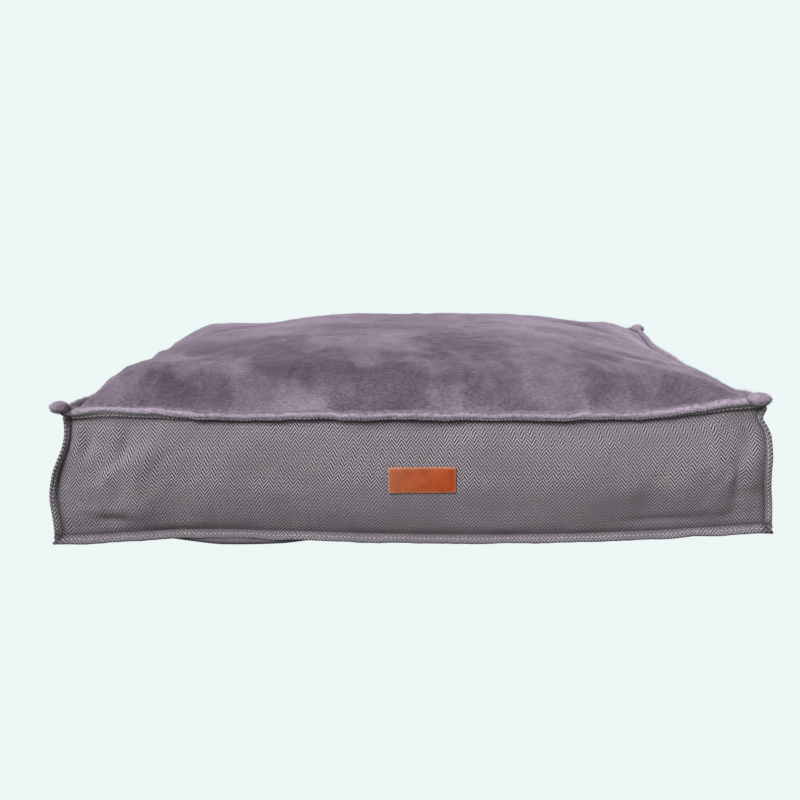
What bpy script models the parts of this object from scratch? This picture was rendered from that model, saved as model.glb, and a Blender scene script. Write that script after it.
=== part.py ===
"""Boxed pet cushion bed: a zipped cover with flanged seams round a fibre-filled liner.

Metres, +Z up. The origin is on the floor under the middle of the bed, X runs along the
front edge and -Y is the front, where the leather label is. The zip is in the rear wall.
"""

import math

import bmesh
import bpy
from mathutils import Matrix, Vector

# The bag that the cover's panels make, measured on their inner faces.
BASE_WIDTH = 0.952
BASE_DEPTH = 0.702
TOP_WIDTH = 0.936
TOP_DEPTH = 0.686
TOP_DRAW_IN = 0.005  # how far the crown pulls in the middle of each top edge
BASE_SEAM_Z = 0.018
TOP_SEAM_Z = 0.176
CORNER_RAISE = 0.010  # the corners stand taller than the bulging walls between them
CORNER_RUN = 0.100  # length of edge over which a wall goes from bulging to flat
CROWN = 0.070
WALL_BULGE = 0.018
BASE_ROLL = 0.080  # how far in from its edges the base leaves the floor

# Seams: both layers run on past the stitch line as a flange.
FLANGE = 0.012
TOP_FLANGE_RISE = math.radians(25)
BASE_FLANGE_DROP = math.radians(40)
SEAM_CLEARANCE = 0.0002  # each layer stands this far off the shared seam surface

# Cloth thicknesses.
PLUSH = 0.0035
TWEED = 0.0016
BASE_CLOTH = 0.0012
LINER_CLOTH = 0.0010
LINER_INSET = 0.0050
FILLING_INSET = 0.0056

# Threads are 0.8 mm, and lie this far above the cloth.
THREAD_RADIUS = 0.0004
THREAD_LIFT = 0.0003
STITCH_END = 0.98  # each flange's stitching stops this share of the way to its corners

# Leather label, on the front wall.
LABEL_WIDTH = 0.090
LABEL_HEIGHT = 0.034
LABEL_THICKNESS = 0.0018
LABEL_X = 0.008
LABEL_GAP = 0.0004
LABEL_STITCH_INSET = 0.0025

# Zip, along the middle of the rear wall.
CLEAR_WINDOW = 0.362  # the tweed stands back from the chain this far each side of the middle
ZIP_REVEAL = 0.0055
CLOSED_REVEAL = 0.0004  # half the gap where the two halves meet beyond the zip
WINDOW_END_RUN = 0.010
CHAIN_LENGTH = 0.712
COIL_HEIGHT = 0.0024
COIL_DEPTH = 0.0022
COIL_OFFSET = 0.0021  # from the zip's centre line to the middle of each coil
TAPE_WIDTH = 0.013
TAPE_LENGTH = 0.760
TAPE_CLOTH = 0.0006
TAPE_INSET = 0.0016  # tape's inner face, in from the wall's inner face
ZIP_STITCH_OFFSET = 0.0100
STOP_LENGTH = 0.0030
STOP_GAP = 0.0004

# Slider: two plates joined by a thin neck, with an arch for the pull.
SLIDER_LENGTH = 0.0120
SLIDER_HEIGHT = 0.0090
PLATE = 0.0012
SLIDER_GAP = 0.0004
SLIDER_LIP = 0.0008
NECK_THICKNESS = 0.0010
NECK_LENGTH = 0.0040
ARCH_LENGTH = 0.0072
ARCH_HEIGHT = 0.0028
ARCH_WIDTH = 0.0020
ARCH_BAR = 0.0009
PULL_LENGTH = 0.0290
PULL_WIDTH = 0.0064
PULL_THICKNESS = 0.0012
PULL_EYE_LENGTH = 0.0052
PULL_EYE_WIDTH = 0.0030
PULL_LIFT = 0.00035  # under the pull's end bar, above the outer plate

# Care label, sewn in the rear base seam between the cover and the liner.
CARE_LABEL_X = -0.300
CARE_LABEL_WIDTH = 0.030
CARE_LABEL_CLOTH = 0.0003
CARE_LABEL_INSET = 0.0024

CELLS_ALONG = 16
CELLS_DEEP = 12
CELLS_UP = 6
ROLL_CELLS = 4

UP = Vector((0, 0, 1))
# Each wall's outward direction, and its edge as (u, v) of the top or base for s from -1 to 1.
WALLS = {
    "front": (Vector((0, -1, 0)), lambda s: (s, -1)),
    "right": (Vector((1, 0, 0)), lambda s: (1, s)),
    "rear": (Vector((0, 1, 0)), lambda s: (-s, 1)),
    "left": (Vector((-1, 0, 0)), lambda s: (-1, -s)),
}
ORDER = list(WALLS)


def clamp(value, low=0.0, high=1.0):
    return max(low, min(high, value))


def smoothstep(value):
    t = clamp(value)
    return t * t * (3 - 2 * t)


def corner_share(t, half):
    """0 along the middle of an edge of this half length, rising to 1 at its corners."""
    return smoothstep((abs(t) * half - (half - CORNER_RUN)) / CORNER_RUN)


def top_point(u, v, inset=0.0):
    """A point of the crowned top, for u and v from -1 to 1."""
    half_x, half_y = TOP_WIDTH / 2 - inset, TOP_DEPTH / 2 - inset
    near_x, near_y = corner_share(u, half_x), corner_share(v, half_y)
    crown = CROWN * (1 - abs(u) ** 4) * (1 - abs(v) ** 3)
    return Vector(
        (
            u * (half_x - TOP_DRAW_IN * (1 - near_y)),
            v * (half_y - TOP_DRAW_IN * (1 - near_x)),
            TOP_SEAM_Z + CORNER_RAISE * near_x * near_y + crown - inset,
        )
    )


def base_point(u, v, inset=0.0):
    """A point of the base: flat on the floor, and lifting to the base seam at its edges."""
    half_x, half_y = BASE_WIDTH / 2 - inset, BASE_DEPTH / 2 - inset
    lift_x = smoothstep((abs(u) * half_x - (half_x - BASE_ROLL)) / BASE_ROLL)
    lift_y = smoothstep((abs(v) * half_y - (half_y - BASE_ROLL)) / BASE_ROLL)
    lift = 1 - (1 - lift_x) * (1 - lift_y)
    flat_z = BASE_CLOTH + SEAM_CLEARANCE
    z = flat_z + (BASE_SEAM_Z - flat_z) * lift + inset
    return Vector((u * half_x, v * half_y, z))


def wall_point(side, s, t, inset=0.0):
    """A point of a wall: s runs left to right seen from outside, t from base to top seam."""
    out, edge = WALLS[side]
    u, v = edge(s)
    low, high = base_point(u, v, inset), top_point(u, v, inset)
    half = (TOP_WIDTH if side in ("front", "rear") else TOP_DEPTH) / 2 - inset
    bulge = WALL_BULGE * (1 - corner_share(s, half)) * math.sin(math.pi * t) ** 0.8
    return low.lerp(high, t) + out * bulge


def top_flange(out):
    return FLANGE * (out * math.cos(TOP_FLANGE_RISE) + UP * math.sin(TOP_FLANGE_RISE))


def base_flange(out):
    return FLANGE * (out * math.cos(BASE_FLANGE_DROP) - UP * math.sin(BASE_FLANGE_DROP))


def neighbour(side, end):
    """The outward direction of the wall past this wall's s = -1 or s = 1 end."""
    return WALLS[ORDER[(ORDER.index(side) + end) % 4]][0]


def flanged_wall_point(side, s, t):
    """wall_point where s and t are in range; beyond it, the tip of the flange there."""
    out = WALLS[side][0]
    inside = wall_point(side, clamp(s, -1, 1), clamp(t))
    end = (s > 1) - (s < -1)
    level = (t > 1) - (t < 0)
    across = out + neighbour(side, end) if end else out
    post = across.normalized() * FLANGE
    rim = {1: top_flange, -1: base_flange}.get(level, lambda _: Vector())
    if not level:
        return inside + (post if end else Vector())
    if not end:
        # At the corner line itself the rim is mitred with the next wall's.
        at_corner = 1 if s >= 1 else -1 if s <= -1 else 0
        return inside + rim(out + neighbour(side, at_corner) if at_corner else out)
    return inside + (rim(across) + post) * 0.55


def flanged_sheet_point(surface, rim, u, v):
    """A point of the top or base panel; beyond u or v of 1 it is the tip of the flange."""
    held_u, held_v = clamp(u, -1, 1), clamp(v, -1, 1)
    out = Vector(((u > 1) - (u < -1), (v > 1) - (v < -1), 0))
    if not out.length:
        return surface(u, v)
    sideways, drop = rim(out), rim(out.normalized())
    return surface(held_u, held_v) + Vector((sideways.x, sideways.y, drop.z))


def spread(cells):
    """Positions from -1 to 1, closer together towards the ends."""
    steps = [2 * i / cells - 1 for i in range(cells + 1)]
    return [0.5 * t + 0.5 * math.sin(math.pi / 2 * t) for t in steps]


def with_flanges(positions, low=-1, high=1):
    return [low - 1, *positions, high + 1]


def make_material(name, colour, roughness, metallic=0.0):
    material = bpy.data.materials.new(name)
    material.use_nodes = True
    shader = material.node_tree.nodes["Principled BSDF"]
    shader.inputs["Base Color"].default_value = (*colour, 1)
    shader.inputs["Roughness"].default_value = roughness
    shader.inputs["Metallic"].default_value = metallic
    return material


def finish(obj, material, parent):
    obj.data.materials.append(material)
    obj.parent = parent
    if obj.type == "MESH":
        obj.data.shade_smooth()
    return obj


def mesh_object(name, bm, material, parent):
    mesh = bpy.data.meshes.new(name)
    bm.to_mesh(mesh)
    bm.free()
    obj = bpy.data.objects.new(name, mesh)
    bpy.context.collection.objects.link(obj)
    return finish(obj, material, parent)


def add_grid(bm, rows, closed=False):
    """Faces between rows of points. closed joins each row's end to its start."""
    verts = [[bm.verts.new(p) for p in row] for row in rows]
    columns = len(rows[0])
    for low, high in zip(verts, verts[1:]):
        for c in range(columns if closed else columns - 1):
            d = (c + 1) % columns
            bm.faces.new((low[c], low[d], high[d], high[c]))


def panel(name, rows, thickness, material, parent, closed=False):
    """A cloth panel: the rows of points are its inner face, and its thickness grows outwards."""
    bm = bmesh.new()
    add_grid(bm, rows, closed)
    bm.normal_update()
    for vert in bm.verts:
        vert.co += vert.normal * SEAM_CLEARANCE
    obj = mesh_object(name, bm, material, parent)
    solidify = obj.modifiers.new("thickness", "SOLIDIFY")
    solidify.thickness = thickness
    solidify.offset = 1
    return obj


def thread(name, points, material, parent, closed=False):
    """A run of sewing thread through the points."""
    curve = bpy.data.curves.new(name, "CURVE")
    curve.dimensions = "3D"
    curve.bevel_depth = THREAD_RADIUS
    curve.bevel_resolution = 0
    curve.use_fill_caps = True
    spline = curve.splines.new("POLY")
    spline.points.add(len(points) - 1)
    for target, point in zip(spline.points, points):
        target.co = (*point, 1)
    spline.use_cyclic_u = closed
    obj = bpy.data.objects.new(name, curve)
    bpy.context.collection.objects.link(obj)
    return finish(obj, material, parent)


def add_block(bm, low, high):
    """A box between two corners."""
    low, high = Vector(low), Vector(high)
    place = Matrix.Translation((low + high) / 2) @ Matrix.Diagonal((*(high - low), 1))
    bmesh.ops.create_cube(bm, size=1, matrix=place)


def block(name, low, high, material, parent, bevel=0.0):
    bm = bmesh.new()
    add_block(bm, low, high)
    obj = mesh_object(name, bm, material, parent)
    if bevel:
        rounding = obj.modifiers.new("rounding", "BEVEL")
        rounding.width = bevel
        rounding.segments = 2
    return obj


def top_panel(material, parent):
    rows = [
        [flanged_sheet_point(top_point, top_flange, u, v) for u in with_flanges(spread(CELLS_ALONG))]
        for v in with_flanges(spread(CELLS_DEEP))
    ]
    return panel("top_panel", rows, PLUSH, material, parent)


def base_panel(material, parent):
    """The base: one flat patch on the floor, and steps that roll up from it to the seam."""

    def steps(half):
        roll = [1 - BASE_ROLL / half * (1 - i / ROLL_CELLS) for i in range(ROLL_CELLS + 1)]
        return with_flanges([*(-t for t in reversed(roll)), *roll])

    # u runs backwards, so that the panel's outer face looks down.
    rows = [
        [flanged_sheet_point(base_point, base_flange, -u, v) for u in steps(BASE_WIDTH / 2)]
        for v in steps(BASE_DEPTH / 2)
    ]
    return panel("base_panel", rows, BASE_CLOTH, material, parent)


def plain_wall(side, cells, material, parent):
    heights = [i / CELLS_UP for i in range(CELLS_UP + 1)]
    rows = [
        [flanged_wall_point(side, s, t) for s in with_flanges(spread(cells))]
        for t in with_flanges(heights, 0, 1)
    ]
    return panel(f"{side}_boxing", rows, TWEED, material, parent)


def zip_reveal(s):
    """How far the tweed's edge stands from the zip's centre line, this far along the wall."""
    beyond = (abs(wall_point("rear", s, 0.5).x) - CLEAR_WINDOW) / WINDOW_END_RUN
    return ZIP_REVEAL + (CLOSED_REVEAL - ZIP_REVEAL) * clamp(beyond)


def rear_half(name, way, material, parent):
    """The upper (way 1) or lower (way -1) half of the rear wall, with the zip's window."""
    half = wall_point("rear", -1, 0.5).x
    ends = [x / half for x in (CLEAR_WINDOW, CLEAR_WINDOW + WINDOW_END_RUN)]
    kept = [s for s in spread(CELLS_ALONG) if all(abs(abs(s) - end) > 0.03 for end in ends)]
    columns = with_flanges(sorted([*kept, *ends, *(-end for end in ends)]))
    cells = CELLS_UP // 2
    seam = max(way, 0)

    def point(s, share):
        held = clamp(s, -1, 1)
        height = wall_point("rear", held, 1).z - wall_point("rear", held, 0).z
        edge = 0.5 + way * zip_reveal(held) / height
        return flanged_wall_point("rear", s, edge * (1 - share) + seam * share)

    rows = [[point(s, row / cells) for s in columns] for row in range(cells + 1)]
    rows.append([flanged_wall_point("rear", s, 0.5 + 1.5 * way) for s in columns])
    return panel(name, rows if way > 0 else rows[::-1], TWEED, material, parent)


def seam_thread(side, cells, level, material, parent):
    """Topstitching along one top (level 1) or base (level 0) flange, on its tweed face."""
    out = WALLS[side][0]
    lean = TOP_FLANGE_RISE if level else -BASE_FLANGE_DROP
    facing = -1 if level else 1
    along = FLANGE * 0.35
    above = SEAM_CLEARANCE + TWEED + THREAD_LIFT + THREAD_RADIUS
    sideways = along * math.cos(lean) - facing * above * math.sin(lean)
    upwards = along * math.sin(lean) + facing * above * math.cos(lean)
    points = [
        wall_point(side, clamp(s, -STITCH_END, STITCH_END), level) + out * sideways + UP * upwards
        for s in spread(cells)
    ]
    return thread(f"{'top' if level else 'base'}_stitching_{side}", points, material, parent)


def corner_thread(side, end, material, parent):
    """Topstitching up one corner flange, on the face that the front or rear wall has."""
    out, beside = WALLS[side][0], neighbour(side, end)
    above = SEAM_CLEARANCE + TWEED + THREAD_LIFT + THREAD_RADIUS
    off = (out + beside).normalized() * FLANGE * 0.35 + (out - beside).normalized() * above
    points = [wall_point(side, end, t) + off for t in (0.08, 0.3, 0.5, 0.7, 0.92)]
    hand = "left" if (beside.x < 0) else "right"
    return thread(f"corner_stitching_{side}_{hand}", points, material, parent)


def on_wall(side, x, z, lift):
    """The point of the front or rear wall at this x and height, moved out by lift."""
    outwards = WALLS[side][0].y
    s = -outwards * x / (TOP_WIDTH / 2)
    low, high = wall_point(side, s, 0).z, wall_point(side, s, 1).z
    point = wall_point(side, s, (z - low) / (high - low))
    return Vector((x, point.y + outwards * lift, z))


def leather_label(material, thread_material, parent):
    middle = wall_point("front", 0, 0.5).z
    xs = [LABEL_X + LABEL_WIDTH * (i / 6 - 0.5) for i in range(7)]
    zs = [middle + LABEL_HEIGHT * (i / 4 - 0.5) for i in range(5)]
    lift = SEAM_CLEARANCE + TWEED + LABEL_GAP
    panel(
        "leather_label",
        [[on_wall("front", x, z, lift) for x in xs] for z in zs],
        LABEL_THICKNESS,
        material,
        parent,
    )
    half_x = LABEL_WIDTH / 2 - LABEL_STITCH_INSET
    half_z = LABEL_HEIGHT / 2 - LABEL_STITCH_INSET
    corners = [(-1, -1), (0, -1), (1, -1), (1, 0), (1, 1), (0, 1), (-1, 1), (-1, 0)]
    above = lift + SEAM_CLEARANCE + LABEL_THICKNESS + THREAD_LIFT + THREAD_RADIUS
    points = [on_wall("front", LABEL_X + i * half_x, middle + j * half_z, above) for i, j in corners]
    thread("label_stitching", points, thread_material, parent, closed=True)


def zip_centre():
    """The middle of the zip: a point of the rear wall's inner face."""
    return wall_point("rear", 0, 0.5)


def zip_tape(name, way, material, parent):
    """One tape, behind the tweed: flat where the slider runs, then following the wall."""
    middle = zip_centre().z
    columns = [TAPE_LENGTH * (0.5 - i / 16) for i in range(17)]

    def point(x, offset):
        leaning = middle if offset < TAPE_WIDTH else middle + way * offset
        y = on_wall("rear", x, leaning, -TAPE_INSET).y
        return Vector((x, y, middle + way * offset))

    offsets = [COIL_OFFSET - COIL_HEIGHT / 2, ZIP_REVEAL, TAPE_WIDTH]
    rows = [[point(x, offset) for x in columns] for offset in offsets[::way]]
    return panel(name, rows, TAPE_CLOTH, material, parent)


def zip_coil(name, way, material, parent):
    middle = zip_centre()
    face = middle.y - TAPE_INSET + TAPE_CLOTH + SLIDER_GAP
    centre = middle.z + way * COIL_OFFSET
    low = (-CHAIN_LENGTH / 2, face, centre - COIL_HEIGHT / 2)
    high = (CHAIN_LENGTH / 2, face + COIL_DEPTH, centre + COIL_HEIGHT / 2)
    return block(name, low, high, material, parent, bevel=0.0005)


def zip_stop(name, end, ways, material, parent):
    """A stop clamped on the end of the chain, over one coil or both."""
    middle = zip_centre()
    face = middle.y - TAPE_INSET + TAPE_CLOTH + SLIDER_GAP
    edges = [middle.z + w * COIL_OFFSET + k * COIL_HEIGHT * 0.5 for w in ways for k in (-1, 1)]
    near = end * (CHAIN_LENGTH / 2 + STOP_GAP)
    far = near + end * STOP_LENGTH
    low = (min(near, far), face, min(edges))
    high = (max(near, far), face + COIL_DEPTH + STOP_GAP, max(edges))
    return block(name, low, high, material, parent, bevel=0.0004)


def zip_thread(name, way, material, parent):
    """The line of stitching that holds one tape to the tweed."""
    low, high = wall_point("rear", 0, 0).z, wall_point("rear", 0, 1).z
    t = 0.5 + way * ZIP_STITCH_OFFSET / (high - low)
    lift = SEAM_CLEARANCE + TWEED + THREAD_LIFT + THREAD_RADIUS
    points = [wall_point("rear", s, t) + Vector((0, lift, 0)) for s in (-0.76, -0.38, 0, 0.38, 0.76)]
    return thread(name, points, material, parent)


def zip_slider(material, parent):
    """The slider at the closed end. Its origin is on the zip's centre line, at the wall's face."""
    chain_face = TAPE_CLOTH - TAPE_INSET + SLIDER_GAP + COIL_DEPTH
    outer = chain_face + SLIDER_GAP  # inside face of the outer plate
    inner = -TAPE_INSET - SLIDER_GAP  # tape side of the inner plate
    half_x, half_z = SLIDER_LENGTH / 2, SLIDER_HEIGHT / 2
    lip_end = TAPE_CLOTH - TAPE_INSET + 2 * SLIDER_GAP
    bm = bmesh.new()
    add_block(bm, (-half_x, outer, -half_z), (half_x, outer + PLATE, half_z))
    obj = mesh_object("zip_slider", bm, material, parent)
    neck_x = half_x - NECK_LENGTH
    arch_half = ARCH_LENGTH / 2
    arch_low, arch_high = outer + PLATE * 0.5, outer + PLATE + ARCH_HEIGHT
    sections = [
        ("inner_plate", (-half_x, inner - PLATE, -half_z), (half_x, inner, half_z)),
        (
            "neck",
            (neck_x, inner - PLATE / 2, -NECK_THICKNESS / 2),
            (half_x, outer + PLATE / 2, NECK_THICKNESS / 2),
        ),
        ("upper_lip", (-half_x, lip_end, half_z - SLIDER_LIP), (half_x, outer + PLATE / 2, half_z)),
        ("lower_lip", (-half_x, lip_end, -half_z), (half_x, outer + PLATE / 2, SLIDER_LIP - half_z)),
        (
            "arch",
            (-arch_half, arch_low, -ARCH_WIDTH / 2),
            (arch_half, arch_high, ARCH_WIDTH / 2),
        ),
    ]
    for name, low, high in sections:
        combine(obj, name, low, high, "UNION")
    opening = arch_half - ARCH_BAR
    combine(
        obj,
        "arch_opening",
        (-opening, outer + PLATE, -ARCH_WIDTH),
        (opening, arch_high - ARCH_BAR, ARCH_WIDTH),
        "DIFFERENCE",
    )
    return obj


def combine(obj, name, low, high, operation):
    """Adds a box to obj, or cuts one from it, with a Boolean."""
    bm = bmesh.new()
    add_block(bm, low, high)
    helper = mesh_object(f"{obj.name}.{name}", bm, obj.data.materials[0], obj)
    helper.hide_render = True
    helper.display_type = "WIRE"
    boolean = obj.modifiers.new(name, "BOOLEAN")
    boolean.operation = operation
    boolean.object = helper


def zip_pull(material, parent):
    """The pull tab, lying flat along -X. Its origin is the axis of its end bar, in the arch."""
    half_t, half_w = PULL_THICKNESS / 2, PULL_WIDTH / 2
    bm = bmesh.new()
    add_block(bm, (half_t - PULL_LENGTH, -half_t, -half_w), (half_t, half_t, half_w))
    obj = mesh_object("zip_pull", bm, material, parent)
    eye_low = (-half_t - PULL_EYE_LENGTH, -PULL_THICKNESS, -PULL_EYE_WIDTH / 2)
    eye_high = (-half_t, PULL_THICKNESS, PULL_EYE_WIDTH / 2)
    combine(obj, "eye", eye_low, eye_high, "DIFFERENCE")
    return obj


def care_label(material, parent):
    half_w = CARE_LABEL_WIDTH / 2
    columns = [(CARE_LABEL_X + x) / (BASE_WIDTH / 2) for x in (half_w, -half_w)]
    inwards = Vector((0, -CARE_LABEL_INSET, 0))
    rows = [[wall_point("rear", -s, t) + inwards for s in columns] for t in (0.1, 0.2, 0.3)]
    return panel("care_label", rows, CARE_LABEL_CLOTH, material, parent)


def liner_sheet(name, surface, flip, material, parent):
    rows = [
        [surface(flip * u, v, LINER_INSET) for u in spread(CELLS_ALONG)] for v in spread(CELLS_DEEP)
    ]
    return panel(name, rows, LINER_CLOTH, material, parent)


def round_the_walls(t, inset):
    """A closed row of points round all four walls at one height."""
    return [
        wall_point(side, s, t, inset)
        for side, cells in zip(ORDER, (CELLS_ALONG, CELLS_DEEP) * 2)
        for s in spread(cells)[1:]
    ]


def liner_boxing(material, parent):
    rows = [round_the_walls(t, LINER_INSET) for t in (0.03, 0.25, 0.5, 0.75, 0.97)]
    return panel("liner_boxing", rows, LINER_CLOTH, material, parent, closed=True)


def fibre_filling(material, parent):
    """The stuffing as one closed body, just inside the liner."""
    bm = bmesh.new()
    columns, lines = spread(CELLS_ALONG), spread(CELLS_DEEP)
    add_grid(bm, [[top_point(u, v, FILLING_INSET) for u in columns] for v in lines])
    add_grid(bm, [[base_point(-u, v, FILLING_INSET) for u in columns] for v in lines])
    add_grid(bm, [round_the_walls(t, FILLING_INSET) for t in (0, 0.25, 0.5, 0.75, 1)], closed=True)
    bmesh.ops.remove_doubles(bm, verts=bm.verts, dist=1e-6)
    return mesh_object("fibre_filling", bm, material, parent)


def main():
    for obj in list(bpy.data.objects):
        bpy.data.objects.remove(obj)

    plush = make_material("plush_pile", (0.215, 0.170, 0.205), 0.9)
    tweed = make_material("herringbone_tweed", (0.165, 0.145, 0.155), 0.85)
    canvas = make_material("base_canvas", (0.075, 0.070, 0.080), 0.8)
    leather = make_material("tan_leather", (0.420, 0.115, 0.040), 0.5)
    grey_thread = make_material("grey_thread", (0.190, 0.175, 0.190), 0.7)
    tan_thread = make_material("tan_thread", (0.480, 0.170, 0.075), 0.7)
    zip_cloth = make_material("zip_tape", (0.050, 0.047, 0.052), 0.8)
    nylon = make_material("zip_nylon", (0.045, 0.042, 0.047), 0.4)
    metal = make_material("zip_metal", (0.230, 0.220, 0.215), 0.35, metallic=1.0)
    satin = make_material("care_satin", (0.800, 0.790, 0.770), 0.5)
    liner = make_material("liner_cloth", (0.760, 0.750, 0.720), 0.85)
    fibre = make_material("polyester_fibre", (0.900, 0.900, 0.890), 0.95)

    bed = bpy.data.objects.new("cushion", None)
    bpy.context.collection.objects.link(bed)

    top_panel(plush, bed)
    base_panel(canvas, bed)
    plain_wall("front", CELLS_ALONG, tweed, bed)
    plain_wall("right", CELLS_DEEP, tweed, bed)
    plain_wall("left", CELLS_DEEP, tweed, bed)
    rear_half("rear_boxing_upper", 1, tweed, bed)
    rear_half("rear_boxing_lower", -1, tweed, bed)
    leather_label(leather, tan_thread, bed)

    for side, cells in zip(ORDER, (CELLS_ALONG, CELLS_DEEP) * 2):
        seam_thread(side, cells, 1, grey_thread, bed)
        seam_thread(side, cells, 0, grey_thread, bed)
    for side in ("front", "rear"):
        for end in (-1, 1):
            corner_thread(side, end, grey_thread, bed)

    for level, way in (("upper", 1), ("lower", -1)):
        zip_tape(f"zip_tape_{level}", way, zip_cloth, bed)
        zip_coil(f"zip_coil_{level}", way, nylon, bed)
        zip_stop(f"zip_top_stop_{level}", 1, (way,), metal, bed)
        zip_thread(f"zip_stitching_{level}", way, grey_thread, bed)
    zip_stop("zip_bottom_stop", -1, (-1, 1), metal, bed)

    # The slider rests 0.5 mm short of the top stops, and its pull pivots in its arch.
    slider_axis = bpy.data.objects.new("zip_slider_axis", None)
    bpy.context.collection.objects.link(slider_axis)
    slider_axis.parent = bed
    slider_axis.location = zip_centre() + Vector((CHAIN_LENGTH / 2 - SLIDER_LENGTH / 2 - 0.0005, 0, 0))
    zip_slider(metal, slider_axis)
    plate_face = TAPE_CLOTH - TAPE_INSET + 2 * SLIDER_GAP + COIL_DEPTH + PLATE
    pull = zip_pull(metal, slider_axis)
    pull.location = (0, plate_face + PULL_LIFT + PULL_THICKNESS / 2, 0)

    care_label(satin, bed)
    liner_sheet("liner_top", top_point, 1, liner, bed)
    liner_sheet("liner_base", base_point, -1, liner, bed)
    liner_boxing(liner, bed)
    fibre_filling(fibre, bed)


main()
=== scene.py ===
import math

import bmesh
import bpy
import numpy as np
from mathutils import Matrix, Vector, noise
from mathutils.bvhtree import BVHTree


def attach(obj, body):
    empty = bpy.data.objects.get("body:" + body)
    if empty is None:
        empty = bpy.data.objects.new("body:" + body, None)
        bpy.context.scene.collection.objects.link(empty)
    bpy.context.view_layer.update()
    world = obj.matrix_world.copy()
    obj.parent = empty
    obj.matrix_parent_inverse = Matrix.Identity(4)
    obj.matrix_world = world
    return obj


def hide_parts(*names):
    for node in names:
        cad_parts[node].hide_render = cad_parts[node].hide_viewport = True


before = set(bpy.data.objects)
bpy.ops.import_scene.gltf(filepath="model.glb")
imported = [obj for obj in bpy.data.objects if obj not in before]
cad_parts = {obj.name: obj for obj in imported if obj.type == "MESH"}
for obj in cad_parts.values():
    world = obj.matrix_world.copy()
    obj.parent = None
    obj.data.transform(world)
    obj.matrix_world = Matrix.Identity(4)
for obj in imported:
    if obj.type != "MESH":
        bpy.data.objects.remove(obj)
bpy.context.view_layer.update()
print("frame loaded")

sides = ("front", "right", "rear", "left")  # seen from above these run anticlockwise


# small helpers

def hexColour(code, alpha=1.0):
    # sRGB hex to the linear colour that shaders use
    parts = [int(code[i:i + 2], 16) / 255 for i in (0, 2, 4)]
    return [p / 12.92 if p < 0.04045 else ((p + 0.055) / 1.055) ** 2.4 for p in parts] + [alpha]


def smoothStep(t):
    t = np.clip(t, 0, 1)
    return t * t * (3 - 2 * t)


def unit(vectors):
    return vectors / np.maximum(np.linalg.norm(vectors, axis=-1, keepdims=True), 1e-12)


def gridNormals(grid):
    # columns run to the right and rows up, seen from outside
    across = np.gradient(grid, axis=1)
    along = np.gradient(grid, axis=0)
    return unit(np.cross(across, along))


def wander(points, size, seed=0.0, octaves=3):
    # smooth noise of about -1 to 1, with features this many metres across
    shift = Vector((seed * 3.7, seed * 1.9, seed * 5.3))
    flat = points.reshape(-1, points.shape[-1])
    if flat.shape[1] < 3:
        flat = np.pad(flat, ((0, 0), (0, 3 - flat.shape[1])))
    values = [noise.fractal(Vector(p) / size + shift, 0.9, 2.1, octaves) for p in flat]
    return np.array(values).reshape(points.shape[:-1])


def makeObject(name, verts, faces, material):
    mesh = bpy.data.meshes.new(name)
    mesh.from_pydata([], [], [])
    mesh.vertices.add(len(verts))
    mesh.vertices.foreach_set("co", np.asarray(verts, np.float32).ravel())
    faces = [np.asarray(f, np.int32) for f in (faces if isinstance(faces, list) else [faces])]
    corners = np.concatenate([f.ravel() for f in faces])
    totals = np.concatenate([np.full(len(f), f.shape[1], np.int32) for f in faces])
    mesh.loops.add(len(corners))
    mesh.loops.foreach_set("vertex_index", corners)
    mesh.polygons.add(len(totals))
    mesh.polygons.foreach_set("loop_start", np.concatenate([[0], np.cumsum(totals)[:-1]]).astype(np.int32))
    mesh.update(calc_edges=True)
    mesh.validate()
    mesh.shade_smooth()
    obj = bpy.data.objects.new(name, mesh)
    bpy.context.collection.objects.link(obj)
    obj.data.materials.append(material)
    return obj


def gridFaces(rows, columns, start=0, flip=False, closed=False):
    r, c = np.meshgrid(np.arange(rows - 1), np.arange(columns if closed else columns - 1), indexing="ij")
    a = start + r * columns + c
    b = start + r * columns + (c + 1) % columns
    quads = np.stack([a, b, b + columns, a + columns], axis=-1).reshape(-1, 4)
    return quads[:, ::-1] if flip else quads


def addUv(obj, uvs):
    # one uv per vertex, in metres of flat cloth
    layer = obj.data.uv_layers.new(name="cut")
    index = np.zeros(len(obj.data.loops), np.int32)
    obj.data.loops.foreach_get("vertex_index", index)
    layer.data.foreach_set("uv", np.asarray(uvs, np.float32)[index].ravel())


def markPoints(obj, key, values):
    # one value for each point, which a material reads
    attribute = obj.data.attributes.new(key, "FLOAT", "POINT")
    attribute.data.foreach_set("value", np.asarray(values, np.float32).ravel())


def clothShell(name, inner, outer, uv, material, marks=None):
    # a closed cloth panel between two grids of points, with its rim
    rows, columns = inner.shape[:2]
    n = rows * columns
    outerFaces = gridFaces(rows, columns)
    innerFaces = gridFaces(rows, columns, n, flip=True)
    ids = np.arange(n).reshape(rows, columns)
    loop = np.concatenate([ids[0, :-1], ids[:-1, -1], ids[-1, :0:-1], ids[:0:-1, 0]])
    nextOnes = np.roll(loop, -1)
    rim = np.stack([loop, loop + n, nextOnes + n, nextOnes], axis=-1)
    verts = np.concatenate([outer.reshape(-1, 3), inner.reshape(-1, 3)])
    verts[:, 2] = np.maximum(verts[:, 2], 0.0002)  # the floor flattens what touches it
    obj = makeObject(name, verts, [outerFaces, innerFaces, rim], material)
    addUv(obj, np.concatenate([uv.reshape(-1, 2)] * 2))
    for key, values in (marks or {}).items():
        markPoints(obj, key, np.concatenate([values.ravel()] * 2))
    return obj


# materials

def newMaterial(name):
    material = bpy.data.materials.new(name)
    material.use_nodes = True
    tree = material.node_tree
    return material, tree, tree.nodes["Principled BSDF"]


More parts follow.
